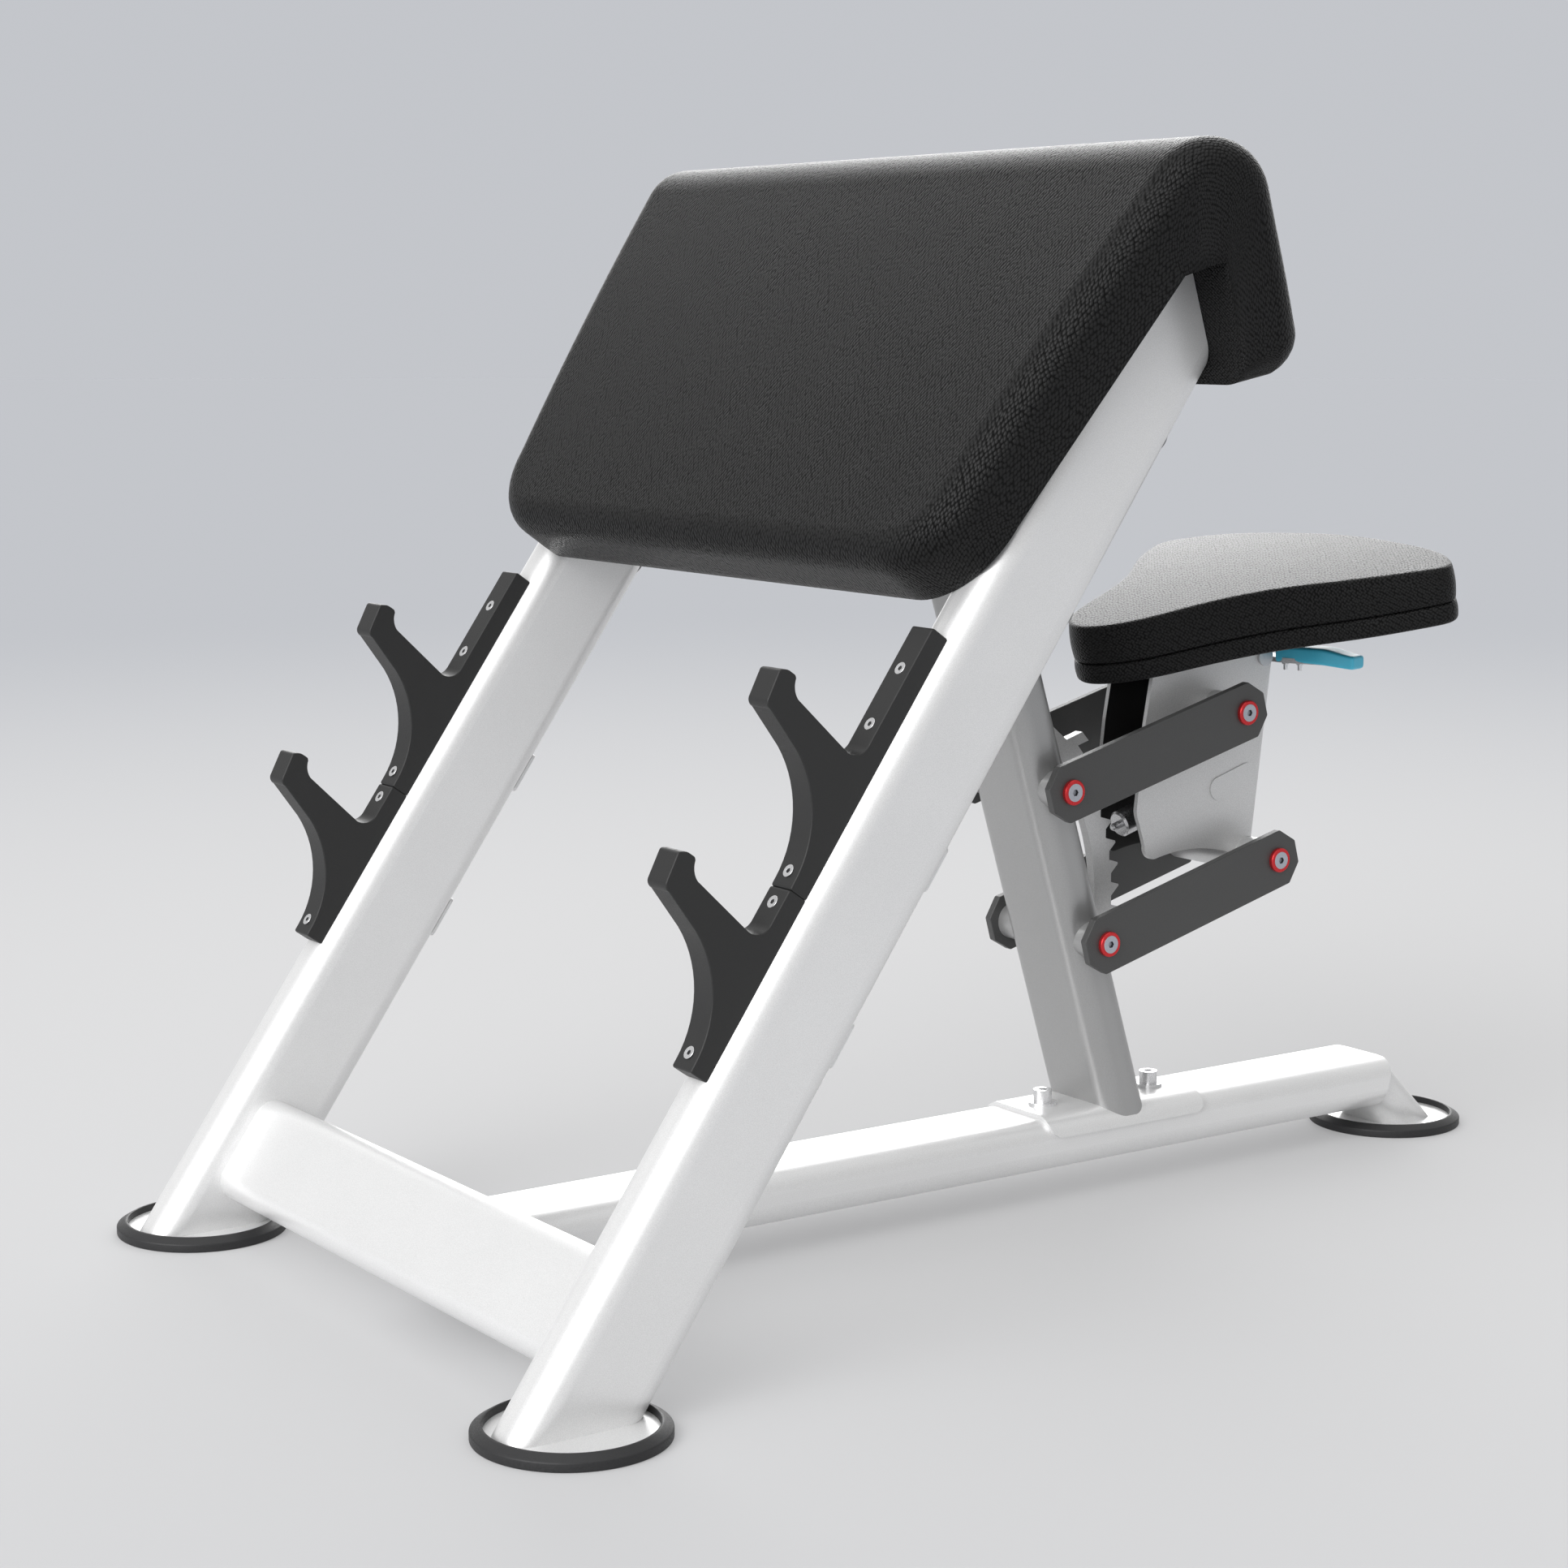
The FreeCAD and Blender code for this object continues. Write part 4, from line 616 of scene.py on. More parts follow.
# Inside the inner faces of the side plates the colour turns near-black: painted shade in the channel.
from_middle = math_node(channel_shade_group, "ABSOLUTE", where.outputs["X"])
outside = spread(
    channel_shade_group, from_middle, channel_inside - shade_blend, channel_inside + shade_blend, 0.0, 1.0,
)
coat = add_node(
    channel_shade_group, "ShaderNodeGroup", {"node_tree": fleck_group},
    Colour=mixed(channel_shade_group, outside, given["Painted Shade Colour"], given["Colour"]),
    Gloss=given["Gloss"],
    Grain_Scale=1100.0,
)
feed(channel_shade_group, result, **{label: coat.outputs[label] for label, kind in surface_outputs})
channel_coat_and_painted_shade = finish("channel_coat_and_painted_shade", channel_shade_group, {}, bump=0.15, bump_depth=0.0002, Metallic=0.5)
dress(channel_coat_and_painted_shade, "carriage_channel")
carriage_coat = flecked(
    "carriage_coat", (0.68, 0.68, 0.68), grain=0.09, gloss=0.42, gloss_change=0.05,
    grain_scale=1100.0, bump=0.15, bump_depth=0.0002, Metallic=0.6,
)
dress(
    carriage_coat,
    "upper_carriage_pivot", "lower_carriage_pivot", "plunger_block", "seat_mount", "tooth_sector",
    "lever_crank",
)
turned_steel = flecked(
    "turned_steel", (0.56, 0.56, 0.57), grain=0.06, gloss=0.3, gloss_change=0.06,
    grain_scale=2200.0, bump=0.1, bump_depth=0.0001, Metallic=0.95,
)
dress(turned_steel, "lock_pin", "plunger_barrel", "lever_shaft", "lever_handle")

# Release grip: a teal moulded paddle screwed on the flat lever; its section is a
# rounded oblong that thins and droops towards the tip.

teal_plastic = flecked(
    "teal_plastic", (0.065, 0.50, 0.70), grain=0.04, gloss=0.38, gloss_change=0.05,
    grain_scale=1500.0, bump=0.12, bump_depth=0.00012, Specular_IOR_Level=0.5,
)
grip_base = np.array([0.0, 0.409022, 0.505957])
grip_turn = math.radians(17.25)
grip_start = 0.024
grip_length = 0.084
grip_top = 0.0115
grip_low = -0.0053
grip_half = 0.014
plate_side = 0.0035
grip_end_round = 0.003
tip_drop_top = 0.0062
tip_drop_low = 0.0028
tip_narrowing = 0.002
droop_start = 0.55
grip_squareness = 0.32
grip_rows = 72
grip_columns = 64


def on_grip(along, across, up):
    """World points from distance along the lever, offset across it and height over its plate."""
    return grip_base + np.stack(np.broadcast_arrays(*tilted(along, across, grip_turn), up), -1)


def squared_off(wave):
    """A sine or cosine raised to a small power, its sign kept: it turns an oval into a rounded oblong."""
    return np.sign(wave) * np.abs(wave) ** grip_squareness


# Both ends are rounded by pinching the section along a quarter circle. The droop starts and
# ends level: three times the square of the way past its start, less twice the cube.
share = (1 - np.cos(np.linspace(0, np.pi, grip_rows)))[:, None] / 2
from_end = grip_length * np.minimum(share, 1 - share)
pinch = grip_end_round * (1 - np.sqrt(1 - (1 - np.minimum(from_end / grip_end_round, 1)) ** 2))
past = np.clip((share - droop_start) / (1 - droop_start), 0, 1)
droop = past * past * (3 - 2 * past)
section_top = grip_top - tip_drop_top * droop - pinch
section_low = grip_low - tip_drop_low * droop + pinch
round_angle = np.linspace(0, 2 * np.pi, grip_columns, endpoint=False)[None, :]
sideways = squared_off(np.cos(round_angle))
upwards = squared_off(np.sin(round_angle))
section_half = grip_half - tip_narrowing * droop - pinch + plate_side * (sideways < 0) * (1 - droop)
section_middle = (section_top + section_low) / 2
section_up = section_middle + (section_top - section_low) / 2 * upwards
grip_points = on_grip(grip_start + grip_length * share, section_half * sideways, section_up)
grip_faces = grid_faces(grip_rows, grip_columns, False, True).tolist() + end_faces(grip_rows, grip_columns)
grip = make_piece(
    "release_grip", grip_points, [f[::-1] for f in grip_faces], teal_plastic,
    "release_lever", "grip", "lever_grip",
)
level_faces(grip)

# Grip screws: two zinc-plated screws through the grip and the lever's plate, whose nuts
# and thread ends show under the root of the grip.

nut_half = 0.0035
stud_spots = np.array([0.027, 0.043])[:, None, None]
stud_angle = np.linspace(0, 2 * np.pi, screw_steps, endpoint=False)[None, :]
nut_six = nut_half / np.cos((stud_angle % (np.pi / 3)) - np.pi / 6)

# Rings of the chamfered nut, then of the thread end, from the grip downwards.
nut_shares = np.array([0.1, 0.96, 1.0, 1.0, 0.96])[:, None]
nut_heights = np.array([0.001, 0.001, 0.0006, -0.0024, -0.0028])[:, None]
stud_radii = np.array([0.0023, 0.0023, 0.0023, 0.0018, 0.0001])[:, None]
stud_heights = np.array([-0.0028, -0.0030, -0.0080, -0.0085, -0.0086])[:, None]
stud_r = np.concatenate([nut_shares * nut_six, stud_radii + 0 * stud_angle])
stud_h = np.concatenate([nut_heights, stud_heights]) + 0 * stud_angle
stud_along = stud_spots + stud_r * np.cos(stud_angle)
stud_across = 0 * stud_along + stud_r * np.sin(stud_angle)
stud_points = on_grip(stud_along, stud_across, grip_low + stud_h)
stud_faces = [f[::-1] for f in head_faces(len(stud_r), screw_steps, 2)]
studs = make_piece(
    "grip_nuts", stud_points, stud_faces, bright_zinc, "release_lever", "steel", "grip_screws",
)
level_faces(studs)

# Seat: a plywood board and a foam cushion, each wrapped in black pebbled vinyl, so
# that a groove runs round between them; the board is bolted to the carriage.

pebble_group, given, result = new_group(
    "pebble",
    (
        ("Colour", "NodeSocketColor", (0.010, 0.010, 0.0101, 1.0)),
        ("Pebble Scale", "NodeSocketFloat", 360.0),
        ("Gloss", "NodeSocketFloat", 0.32),
    ),
    surface_outputs,
)

# Pebble: round cells on the flat hide, in slanting rows that drift; the colour darkens into the hollow round
# each, painted shade.
row_slant = 0.7
row_drift = (0.005, 0.005, 0.0)
place = object_place(pebble_group)
hide_place = add_node(pebble_group, "ShaderNodeUVMap", {"uv_map": "hide"}).outputs["UV"]
drift = add_node(pebble_group, "ShaderNodeTexNoise", Vector=place, Scale=28.0, Detail=0.0)
drifted = vector_node(pebble_group, "MULTIPLY_ADD", drift.outputs["Color"], row_drift, hide_place)["Vector"]
slanted = add_node(
    pebble_group, "ShaderNodeVectorRotate", {"rotation_type": "Z_AXIS"}, Vector=drifted, Angle=row_slant,
)
cells = add_node(
    pebble_group, "ShaderNodeTexVoronoi", {"feature": "F1", "voronoi_dimensions": "2D"},
    Vector=slanted.outputs[0], Scale=given["Pebble Scale"], Randomness=0.45,
)
hollow = math_node(pebble_group, "MULTIPLY", cells.outputs["Distance"], cells.outputs["Distance"])
pores = math_node(pebble_group, "MULTIPLY", scaled_noise(pebble_group, place, 2600.0, 1.0), 0.05)
# Colour lighter on the pebble tops and near-black in the hollows between them: painted shade; the tone noise
# varies at random.
painted_hollow_shade = spread(pebble_group, hollow, 0.06, 0.27, 1.5, 0.05)
tone = remap(pebble_group, scaled_noise(pebble_group, place, 14.0, 3.0), 0.96, 1.04)
hollow_shade_and_tone = math_node(pebble_group, "MULTIPLY", painted_hollow_shade, tone)
valley_dull = math_node(pebble_group, "MULTIPLY", hollow, 0.25)
feed(
    pebble_group, result,
    Colour=tinted(pebble_group, given["Colour"], hollow_shade_and_tone),
    Roughness=math_node(pebble_group, "ADD", given["Gloss"], valley_dull),
    Height=math_node(pebble_group, "SUBTRACT", pores, hollow),
)
black_vinyl = finish(
    "black_vinyl", pebble_group, {}, bump=1.0, bump_depth=0.0014, Specular_IOR_Level=0.14,
)


def lay_hide(piece, flat):
    """Lays the pebble on a piece: each corner of each face has its place on the flat hide, in metres."""
    hide = piece.data.uv_layers.new(name="hide")
    hide.data.foreach_set("uv", np.asarray(flat, np.float32).ravel())


def closed_spline(points, steps):
    """Smooth closed curve through points: a periodic cubic spline on chord length, steps per span."""
    count = len(points)
    span = np.linalg.norm(np.roll(points, -1, 0) - points, axis=1)
    slope = (np.roll(points, -1, 0) - points) / span[:, None]
    before = np.roll(span, 1)
    system = np.zeros((count, count))
    row = np.arange(count)
    system[row, row] = 2 * (before + span)
    system[row, (row - 1) % count] += before
    system[row, (row + 1) % count] += span
    bend = np.linalg.solve(system, 6 * (slope - np.roll(slope, 1, 0)))
    t = np.linspace(0, 1, steps, endpoint=False)[None, :, None]
    h = span[:, None, None]
    p0 = points[:, None, :]
    p1 = np.roll(points, -1, 0)[:, None, :]
    m0 = bend[:, None, :]
    m1 = np.roll(bend, -1, 0)[:, None, :]
    curve = (1 - t) * p0 + t * p1
    curve = curve + h * h / 6 * (((1 - t) ** 3 - (1 - t)) * m0 + (t ** 3 - t) * m1)
    return curve.reshape(-1, 2)


seat_length = 0.362
seat_half = 0.203
seat_nose = (0.163022, 0.547457)
seat_tilt = math.radians(12.0)
seat_under = -0.060
cushion_under = -0.040
seat_shares = np.array([
    [0.202, 0.083], [0.345, 0.2486], [0.552, 0.464], [0.7734, 0.605], [0.9557, 0.754],
    [1.0, 0.82035], [0.9163, 0.8867], [0.45815, 0.975],
])
half_outline = seat_shares * [seat_half, seat_length]
seat_knots = np.concatenate([
    [[0.0, 0.0193 * seat_length]], half_outline, [[0.0, seat_length]], half_outline[::-1] * [-1, 1],
])
seat_outline = closed_spline(seat_knots, 14)
seat_middle = np.array([0.0, 0.55 * seat_length])
board_gap = 0.0002


def on_seat(points):
    """World points from side offset, distance back from the nose and height over the seat plane."""
    y, z = tilted(points[..., 1], points[..., 2], seat_tilt)
    return np.stack([points[..., 0], y + seat_nose[0], z + seat_nose[1]], -1)


def quarter(radius, steps):
    """Inset and drop along a quarter circle, from the wall to the face."""
    t = np.linspace(0, np.pi / 2, steps + 1)
    return radius * (1 - np.cos(t)), radius * (1 - np.sin(t))


def dome(ring, crown, crown_radius):
    """Height of a shallow dome round the seat's middle at the points of a ring."""
    return crown - ((ring - seat_middle) ** 2).sum(1) / (2 * crown_radius)


def hide_over(rings, climbed):
    """Places on the flat hide of the corners of a slab's faces, in the order of the faces.

    On the wall they are the way round it and the way climbed; over the top and bottom the hide is flat."""
    level = np.stack(rings)[..., :2]
    rows, count = level.shape[:2]
    wall_rows = len(climbed) - 1
    around = np.linalg.norm(np.roll(seat_outline, -1, 0) - seat_outline, axis=1)
    around = np.append(0.0, np.cumsum(around))
    row = np.arange(rows - 2)[:, None, None] + np.array([0, 1, 1, 0])
    column = np.arange(count)[None, :, None] + np.array([1, 1, 0, 0])
    on_wall = np.stack(np.broadcast_arrays(around[column], climbed[np.minimum(row, wall_rows)]), -1)
    on_top = level[row, column % count]
    flat = np.where((np.arange(rows - 2) < wall_rows)[:, None, None, None], on_wall, on_top)
    last = level[rows - 2]
    tip_flat = np.stack([last, np.roll(last, -1, 0), np.broadcast_to(level[-1, :1], last.shape)], 1)
    return np.concatenate([flat.reshape(-1, 2), tip_flat.reshape(-1, 2), level[0, ::-1]])


def wrapped_pad(
    low, low_round, high, high_round, crown, crown_radius, bulge,
    low_steps=5, wall_steps=8, high_steps=7, top_steps=21,
):
    """Upholstered slab: the outline climbs a rounded lower rim, a slightly swelling wall and a
    rounded upper rim, then closes over the top in rings that shrink to its middle on a dome."""
    low_in, low_drop = quarter(low_round, low_steps)
    high_in, high_drop = quarter(high_round, high_steps)
    climb = np.linspace(0, 1, wall_steps + 1)[1:-1]
    wall_low = low + low_round
    wall = wall_low + (high - high_round - wall_low) * climb
    insets = np.concatenate([low_in[::-1], -bulge * np.sin(np.pi * climb), high_in])
    heights = np.concatenate([low + low_drop[::-1], wall, high - high_drop])
    rings = []
    for distance, height in zip(insets, heights):
        ring = inset(seat_outline, distance)
        share = np.clip((height - low) / (high - low), 0, 1)
        rings.append(np.insert(ring, 2, height + share * dome(ring, crown, crown_radius), 1))
    rim = rings[-1][:, :2]
    for share in np.linspace(1, 0, top_steps + 1)[1:]:
        ring = seat_middle + (rim - seat_middle) * share
        rings.append(np.insert(ring, 2, high + dome(ring, crown, crown_radius), 1))
    count = len(seat_outline)
    rows = len(rings)
    points = np.concatenate(rings)
    points = np.concatenate([points[: (rows - 1) * count], points[-1:]])
    faces = grid_faces(rows - 1, count, False, True)[:, ::-1].tolist()
    edge = (rows - 2) * count + np.arange(count)
    tip = np.full(count, (rows - 1) * count)
    faces += np.stack([edge, np.roll(edge, -1), tip], -1).tolist()
    faces += [list(range(count - 1, -1, -1))]
    climbed = np.append(0.0, np.cumsum(np.hypot(np.diff(insets), np.diff(heights))))
    return on_seat(points), faces, hide_over(rings, climbed)


cushion_points, cushion_faces, cushion_flat = wrapped_pad(
    low=cushion_under, low_round=0.003, high=0.0, high_round=0.0045,
    crown=0.003, crown_radius=3.2, bulge=0.0012,
)
cushion = make_piece(
    "seat_cushion_vinyl", cushion_points, cushion_faces, black_vinyl,
    "seat_carriage", "vinyl", "seat_cushion",
)
lay_hide(cushion, cushion_flat)
board_points, board_faces, board_flat = wrapped_pad(
    low=seat_under, low_round=0.004, high=cushion_under - board_gap, high_round=0.003,
    crown=0.0, crown_radius=1e6, bulge=0.0006,
)
board = make_piece(
    "seat_board_vinyl", board_points, board_faces, black_vinyl, "seat_carriage", "vinyl", "seat_board",
)
lay_hide(board, board_flat)

# Arm pad: a thick foam slab bent over the leg tops in an inverted V and wrapped in
# the same vinyl; a plywood board in its back takes the bolts through the legs.

pad_bottom = 0.711
pad_bottom_half = 0.345
pad_taper = math.tan(math.radians(8.5))
pad_corner = 0.076
pad_slab = 0.0635
pad_crown = 0.004
notch_along = 1.061
notch_width = 0.0264
flange_lean = math.radians(17.2)
flange_spread = math.radians(4.0)
flange_length = 0.105
flange_thickness = 0.0735
ridge_round = 0.060
tip_round = 0.038
rim_round = 0.026
back_gap = 0.0008


def in_side(ahead, along):
    """Side-view point, as distance back and height, from distance ahead of the leg and up it."""
    return on_leg(0.0 * np.asarray(ahead), np.asarray(ahead), np.asarray(along))[..., 1:]


flange_out = np.array([math.cos(flange_lean), math.sin(flange_lean)])
flange_down = np.array([math.sin(flange_lean), -math.cos(flange_lean)])
outer_lean = flange_lean + flange_spread
outer_up = np.array([-math.sin(outer_lean), math.cos(outer_lean)])
leg_up = np.array([math.sin(leg_lean), math.cos(leg_lean)])
leg_ahead = np.array([-math.cos(leg_lean), math.sin(leg_lean)])
notch = in_side(-notch_width, notch_along)
roof_front = notch - flange_out * (notch_width - back_gap) / math.cos(leg_lean + flange_lean)
slab_low = in_side(back_gap, pad_bottom)
front_low = in_side(pad_slab, pad_bottom)
flange_in_low = notch + flange_down * flange_length
flange_out_low = flange_in_low + flange_out * flange_thickness
rise = (flange_out_low - front_low) @ leg_ahead / -(outer_up @ leg_ahead)
apex = flange_out_low + outer_up * rise
ridge_angle = math.pi - math.acos(float(leg_up @ outer_up))
ridge_reach = ridge_round * math.tan(ridge_angle / 2)
front_end = apex - leg_up * ridge_reach
outer_start = apex - outer_up * ridge_reach
front_length = float(np.linalg.norm(front_end - front_low))
ridge_length = ridge_round * ridge_angle
outer_length = float(np.linalg.norm(flange_out_low - outer_start))
skin_length = front_length + ridge_length + outer_length
ridge_centre = front_end - leg_ahead * ridge_round


def skin(u, depth):
    """Side view of the pad: up the bowed front, round the ridge, down the flange; depth goes inwards."""
    u = np.asarray(u, float)
    on_front = u[..., None] <= front_length
    on_ridge = u[..., None] <= front_length + ridge_length
    share = np.clip(u / front_length, 0, 1)
    bow = pad_crown * (1 - (2 * share - 1) ** 2)
    front = front_low + leg_up * u[..., None] + leg_ahead * (bow - depth)[..., None]
    turn = np.clip((u - front_length) / ridge_round, 0, ridge_angle)
    first = math.atan2(leg_ahead[1], leg_ahead[0])
    radius = (ridge_round - depth)[..., None]
    ridge = ridge_centre + radius * np.stack([np.cos(first - turn), np.sin(first - turn)], -1)
    outward = np.array([outer_up[1], -outer_up[0]])
    down = (u - front_length - ridge_length)[..., None]
    outer = outer_start - outer_up * down - outward * depth[..., None]
    return np.where(on_front, front, np.where(on_ridge, ridge, outer))


inner_keys = np.array([
    0.0, float((roof_front - slab_low) @ leg_up), front_length + ridge_length * 0.5, skin_length,
])
inner_spots = np.stack([slab_low, roof_front, notch, flange_in_low])


def half_width(side):
    """Half width of the pad at a side-view point: it widens evenly up the legs."""
    along = (side - np.array([foot_y, 0.0])) @ leg_up
    return pad_bottom_half + pad_taper * (along - pad_bottom)


def lined(x, u):
    """Point opposite a place on the skin, on the slab's back, the roof over the legs or the flange's back."""
    side = np.stack([np.interp(u, inner_keys, inner_spots[:, k]) for k in (0, 1)], -1)
    share = half_width(side) / half_width(skin(u, 0 * u))
    return np.concatenate([(x * share)[..., None], side], -1)


# The rim is four edges in the unrolled skin: bottom, right, tip and left. Their corners are
# arcs, split in the middle, so that the four edges bound one grid.
slab_steps = 82
roof_steps = 30
flange_steps = 38
bottom_steps = 54
corner_steps = 10
tip_corner = 0.026
least_corner = 0.002
tip_reach = 0.09


def right_edge(distance):
    """Half width and place along the skin of the right rim, moved inwards by distance."""
    low_r = max(pad_corner - distance, least_corner)
    tip_r = max(tip_corner - distance, least_corner)
    low_turn = np.linspace(-np.pi / 4, 0, corner_steps)
    tip_turn = np.linspace(0, np.pi / 4, corner_steps)
    tip_scale = tip_round / rim_round
    u_low = distance + low_r
    u_tip = skin_length - distance * tip_scale - tip_r
    stops = (u_low, inner_keys[1], inner_keys[2], u_tip)
    steps = (slab_steps, roof_steps, flange_steps)
    runs = [np.linspace(a, b, n, endpoint=False) for a, b, n in zip(stops, stops[1:], steps)]
    straight = np.append(np.concatenate(runs), u_tip)
    straight_half = half_width(skin(straight, 0 * straight)) - distance
    low_half = straight_half[0] - low_r + low_r * np.cos(low_turn)
    tip_half = straight_half[-1] - tip_r + tip_r * np.cos(tip_turn)
    x = np.concatenate([low_half[:-1], straight_half, tip_half[1:]])
    low_u = u_low + low_r * np.sin(low_turn)
    tip_u = u_tip + tip_r * np.sin(tip_turn)
    u = np.concatenate([low_u[:-1], straight, tip_u[1:]])
    return x, u, low_r, tip_r


def end_edge(corner_x, corner_u, radius, outwards):
    """Bottom or tip rim between its two corners: half an arc, a straight run and half an arc."""
    turn = np.linspace(np.pi / 4, np.pi / 2, corner_steps)
    arc_x = corner_x - radius * (math.cos(math.pi / 4) - np.cos(turn))
    arc_u = corner_u + outwards * radius * (np.sin(turn) - math.sin(math.pi / 4))
    straight = np.linspace(arc_x[-1], -arc_x[-1], bottom_steps)
    x = np.concatenate([arc_x[:-1], straight, -arc_x[-2::-1]])
    u = np.concatenate([arc_u[:-1], np.full(len(straight), arc_u[-1]), arc_u[-2::-1]])
    return x[::-1], u[::-1]


def rim_edges(distance):
    """The four edges of one rim ring: bottom and tip from left to right, left and right upwards."""
    x, u, low_r, tip_r = right_edge(distance)
    bottom = end_edge(x[0], u[0], low_r, -1)
    tip = end_edge(x[-1], u[-1], tip_r, 1)
    return bottom, (x, u), tip, (-x, u)


def rim_loop(edges):
    """One closed anticlockwise loop: along the bottom, up the right, back along the tip, down the left."""
    bottom, right, tip, left = (np.stack(e, -1) for e in edges)
    return np.concatenate([bottom, right[1:], tip[-2::-1], left[-2:0:-1]]).T


def filled(edges):
    """Grid inside four edges: both pairs blended, less the blend of the corners."""
    bottom, right, tip, left = (np.stack(e, -1) for e in edges)
    s = np.linspace(0, 1, len(bottom))[None, :, None]
    t = np.linspace(0, 1, len(right))[:, None, None]
    pair = (1 - t) * bottom[None] + t * tip[None] + (1 - s) * left[:, None] + s * right[:, None]
    low = (1 - s) * bottom[0] + s * bottom[-1]
    high = (1 - s) * tip[0] + s * tip[-1]
    return pair - (1 - t) * low - t * high


def rim_depth(u, share):
    """Depth of a rim ring: the rim's quarter circle, deeper at the flange tip."""
    nearness = np.clip((u - (skin_length - tip_reach)) / tip_reach, 0, 1) ** 2
    return share * (rim_round + (tip_round - rim_round) * nearness)


rim_steps = 8
wall_steps = 6
loops = []
for turn in np.linspace(0, np.pi / 2, rim_steps + 1):
    x, u = rim_loop(rim_edges(rim_round * (1 - math.cos(turn))))
    side = skin(u, rim_depth(u, 1 - math.sin(turn)))
    loops.append(np.insert(side, 0, x, 1))
outer_x, outer_u = rim_loop(rim_edges(0.0))
wall_top = loops[0]
wall_base = lined(outer_x, outer_u)
walls = [wall_base + (wall_top - wall_base) * share for share in np.linspace(0, 1, wall_steps + 1)[:-1]]
loops = walls + loops
face_grid = filled(rim_edges(rim_round))
face_side = skin(face_grid[..., 1], 0 * face_grid[..., 1])
face_points = np.insert(face_side, 0, face_grid[..., 0], 2)
loop_count = len(outer_x)
back_grid = filled(rim_edges(0.0))
back_points = lined(back_grid[..., 0], back_grid[..., 1])
pad_points = np.concatenate([np.concatenate(loops), face_points.reshape(-1, 3), back_points.reshape(-1, 3)])
pad_faces = grid_faces(len(loops), loop_count, False, True)[:, ::-1]
rows, columns = face_points.shape[:2]
face_faces = grid_faces(rows, columns)[:, ::-1] + len(loops) * loop_count
back_faces = grid_faces(rows, columns) + len(loops) * loop_count + rows * columns
pad_faces = np.concatenate([pad_faces, face_faces, back_faces])
pad = make_piece("arm_pad_vinyl", pad_points, pad_faces.tolist(), black_vinyl, "frame", "vinyl", "arm_pad")

# The hide is flat over the face and goes on outwards, square to the rim, by the length over it.
rings = np.stack(loops)
over_rim = np.linalg.norm(np.diff(rings, axis=0), axis=2)[::-1].cumsum(0)[::-1]
over_rim = np.append(over_rim, np.zeros((1, loop_count)), 0)
face_rim = np.stack(rim_loop(rim_edges(rim_round)), -1)
outwards = (np.stack([outer_x, outer_u], -1) - face_rim) / rim_round
rim_flat = face_rim + outwards * over_rim[..., None]
pad_flat = np.concatenate([rim_flat.reshape(-1, 2), face_grid.reshape(-1, 2), back_grid.reshape(-1, 2)])
slope_stretch = 0.6
seam_gap = 0.00002
lay_hide(pad, pad_flat[pad_faces] * (1.0, slope_stretch))
seam_weld = pad.modifiers.new("seam_weld", "WELD")
seam_weld.merge_threshold = seam_gap

pad_backing = flecked(
    "pad_backing", (0.03, 0.03, 0.03), grain=0.25, gloss=0.75, gloss_change=0.05,
    grain_scale=500.0, bump=0.4, bump_depth=0.0003,
)
dress(pad_backing, "arm_pad_board")

# Studio: a flat pale floor with a painted pool of light round the object, where it is lightest, and a faint
# glow that is painted light; a sky of soft lamps; the far floor and the background have one colour, so that
# no horizon shows.

floor_level = 1.39
floor_glow_share = 0.3
floor_radius = 40.0
floor_hub = 0.02
floor_sunk = -0.0002
floor_rings = 40
floor_steps = 96
light_pool_spot = (-0.62, 0.50, 0.0)
light_pool_near = 0.4
light_pool_far = 5.5
pale_floor = (0.54, 0.54, 0.545, 1.0)
far_floor = (0.395, 0.405, 0.428, 1.0)
floor_group, given, result = new_group(
    "floor_painted_light_pool",
    (("Own Light", "NodeSocketFloat", floor_glow_share),),
    (*surface_outputs, ("Glow", "NodeSocketColor")),
)
# The floor's colour is paler near the object: a painted pool of light.
from_pool = vector_node(floor_group, "DISTANCE", object_place(floor_group), light_pool_spot)["Value"]
painted_light_pool = add_node(
    floor_group, "ShaderNodeMapRange", {"interpolation_type": "SMOOTHSTEP"},
    Value=from_pool, From_Min=light_pool_near, From_Max=light_pool_far, To_Min=0.0, To_Max=1.0,
)
floor_colour = mixed(floor_group, painted_light_pool.outputs["Result"], pale_floor, far_floor)
# A share of the floor's colour glows: painted light that lightens the floor and weakens the object's shadow
# on it; the rest is lit by the lamps.
lit_share = math_node(floor_group, "SUBTRACT", 1.0, given["Own Light"])
feed(
    floor_group, result,
    Colour=tinted(floor_group, floor_colour, lit_share), Roughness=0.9, Glow=floor_colour,
)
floor_grey = finish(
    "floor_grey", floor_group, {}, bump=0.0, bump_depth=0.0001,
    Specular_IOR_Level=0.0, Emission_Strength=floor_glow_share * floor_level,
)
floor_tree = floor_grey.node_tree
floor_surface = next(n for n in floor_tree.nodes if n.type == "GROUP")
feed(floor_tree, floor_tree.nodes["Principled BSDF"], Emission_Color=floor_surface.outputs["Glow"])
floor_line = np.linspace([floor_hub, floor_sunk], [floor_radius, floor_sunk], floor_rings)
floor_points = turned(floor_line, (0.0, 0.0, 0.0), floor_steps)
floor_faces = grid_faces(floor_steps, floor_rings, True, False)[:, ::-1].tolist()
floor_faces += [list(range(0, floor_steps * floor_rings, floor_rings))]
floor_mesh = bpy.data.meshes.new("studio_floor")
floor_mesh.from_pydata(floor_points.reshape(-1, 3).tolist(), [], floor_faces)
floor_mesh.materials.append(floor_grey)
studio_floor = bpy.data.objects.new("studio_floor", floor_mesh)
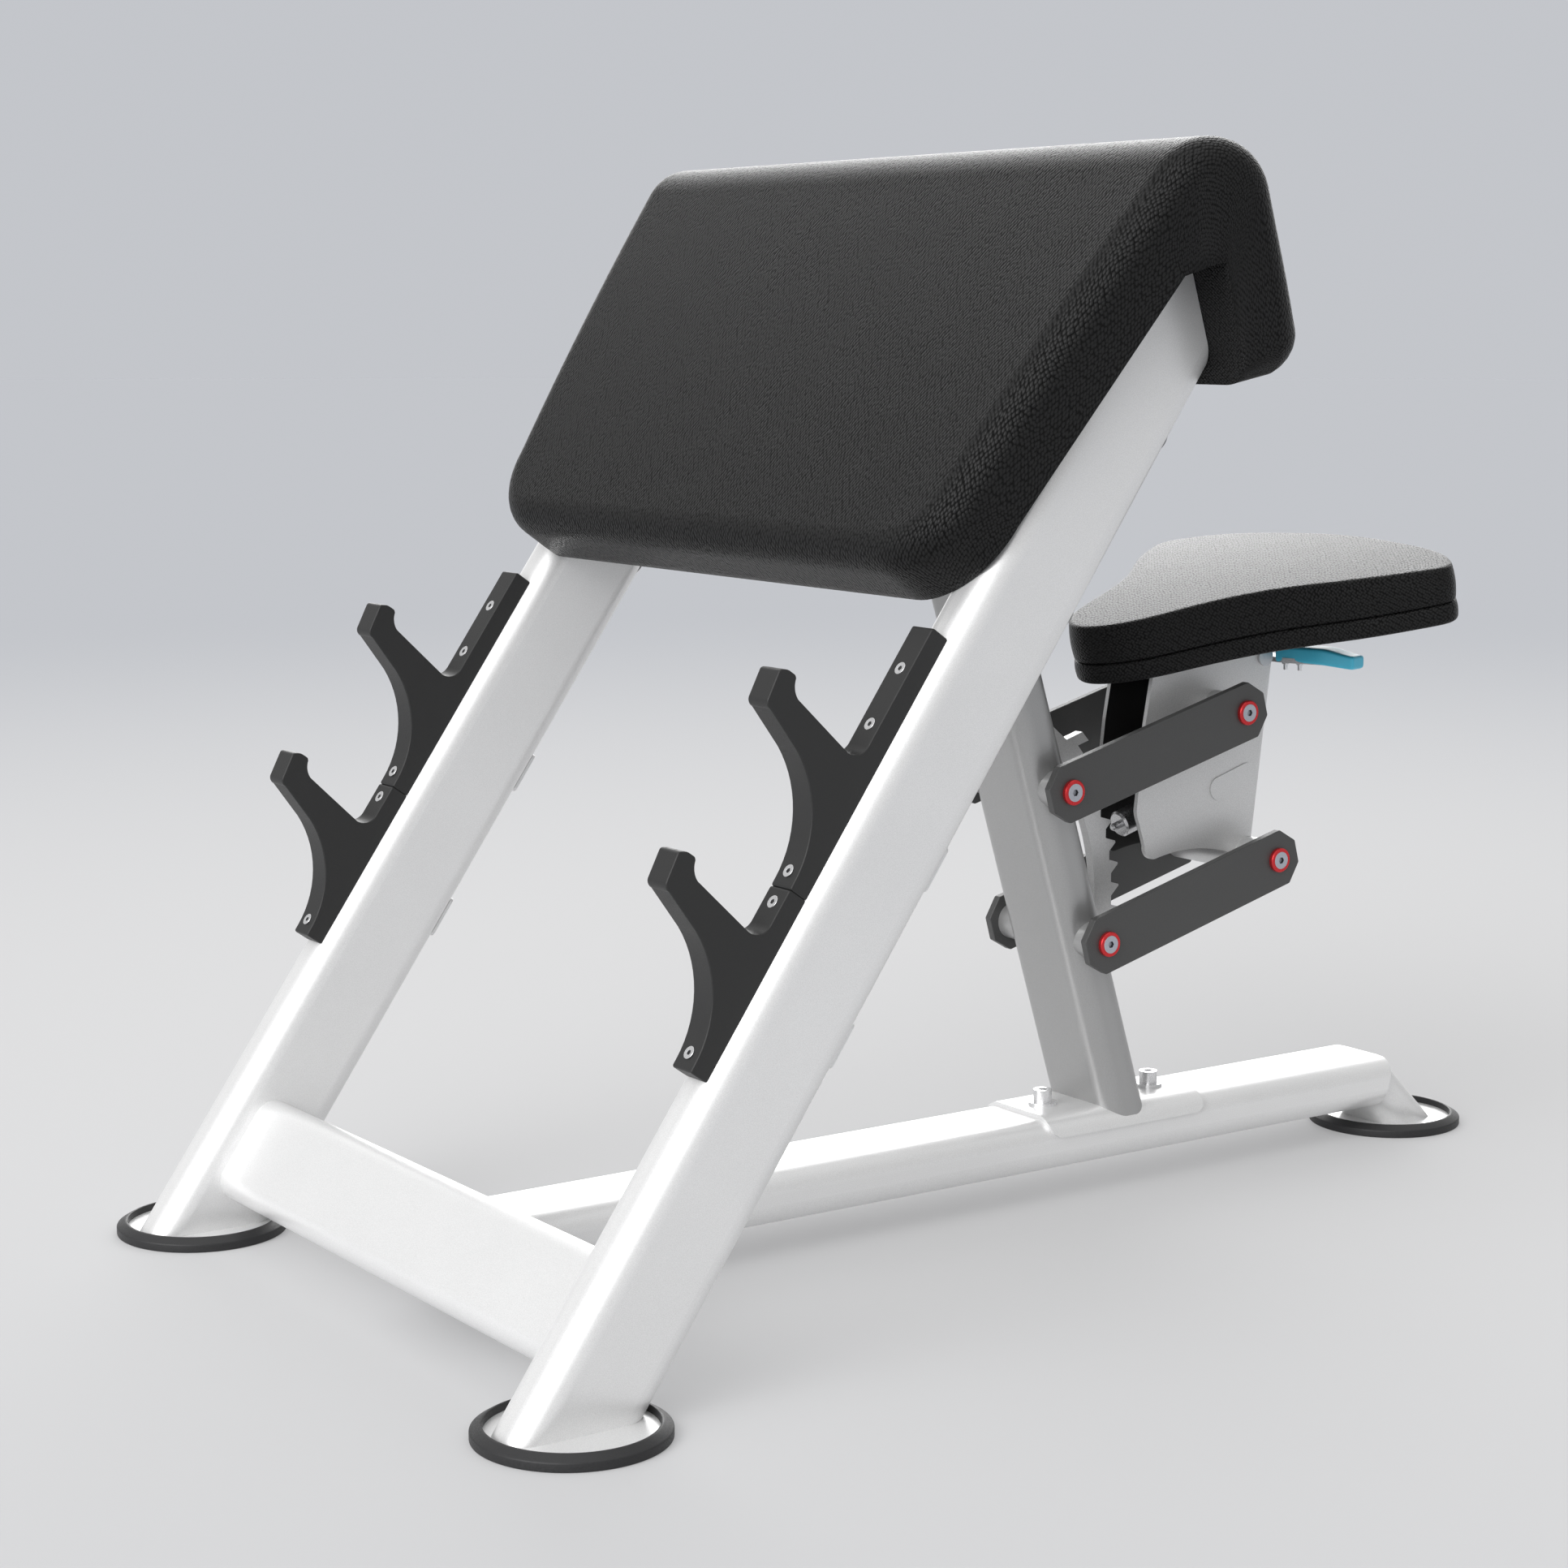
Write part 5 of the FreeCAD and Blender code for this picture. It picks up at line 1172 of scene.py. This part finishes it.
bpy.context.scene.collection.objects.link(studio_floor)

# Each lamp is a soft spot in the sky: its way, how tight it is and how strong.
sky_level = 0.5
soft_lamps = (
    ((0.2, -0.86, 0.47), 16.0, 6.8),
    ((0.0, 0.0, 1.0), 6.0, 1.0),
    ((-0.74, 0.58, 0.34), 16.0, 5.6),
    ((0.58, -0.75, 0.32), 20.0, 2.4),
)
world = bpy.data.worlds.new("studio_light")
world.use_nodes = True
sky = world.node_tree
toward = add_node(sky, "ShaderNodeTexCoord").outputs["Generated"]
brightness = sky_level
for way, tightness, strength in soft_lamps:
    facing = vector_node(sky, "DOT_PRODUCT", toward, Vector(way).normalized())["Value"]
    spot = math_node(sky, "POWER", math_node(sky, "MAXIMUM", facing, 0.0), tightness)
    brightness = math_node(sky, "ADD", brightness, math_node(sky, "MULTIPLY", spot, strength))
lamp_light = sky.nodes["Background"]
feed(sky, lamp_light, Color=(1.0, 1.0, 1.0, 1.0), Strength=brightness)
seen = add_node(sky, "ShaderNodeBackground", Strength=floor_level, Color=far_floor)
either = add_node(sky, "ShaderNodeMixShader")
in_view = add_node(sky, "ShaderNodeLightPath").outputs["Is Camera Ray"]
for socket, source in zip(either.inputs, (in_view, lamp_light.outputs[0], seen.outputs[0])):
    connect(sky, socket, source)
feed(sky, sky.nodes["World Output"], Surface=either.outputs[0])
bpy.context.scene.world = world

# Camera: stands off the left front corner, over the height of the hooks, and is turned and
# tilted down as in the photograph, with a long lens.

view_angle = math.radians(55.392)
view_drop = math.radians(8.445)
level_look = math.cos(view_drop)
look = Vector((
    -math.sin(view_angle) * level_look, math.cos(view_angle) * level_look, -math.sin(view_drop),
))
camera_data = bpy.data.cameras.new("photo_camera")
camera_data.sensor_width = 36.0
camera_data.lens = 72.67
camera = bpy.data.objects.new("photo_camera", camera_data)
camera.location = (2.3218, -1.7740, 0.8423)
camera.rotation_mode = "QUATERNION"
camera.rotation_quaternion = look.to_track_quat("-Z", "Y")
bpy.context.scene.collection.objects.link(camera)
bpy.context.scene.camera = camera
bpy.context.scene.view_settings.view_transform = "Standard"
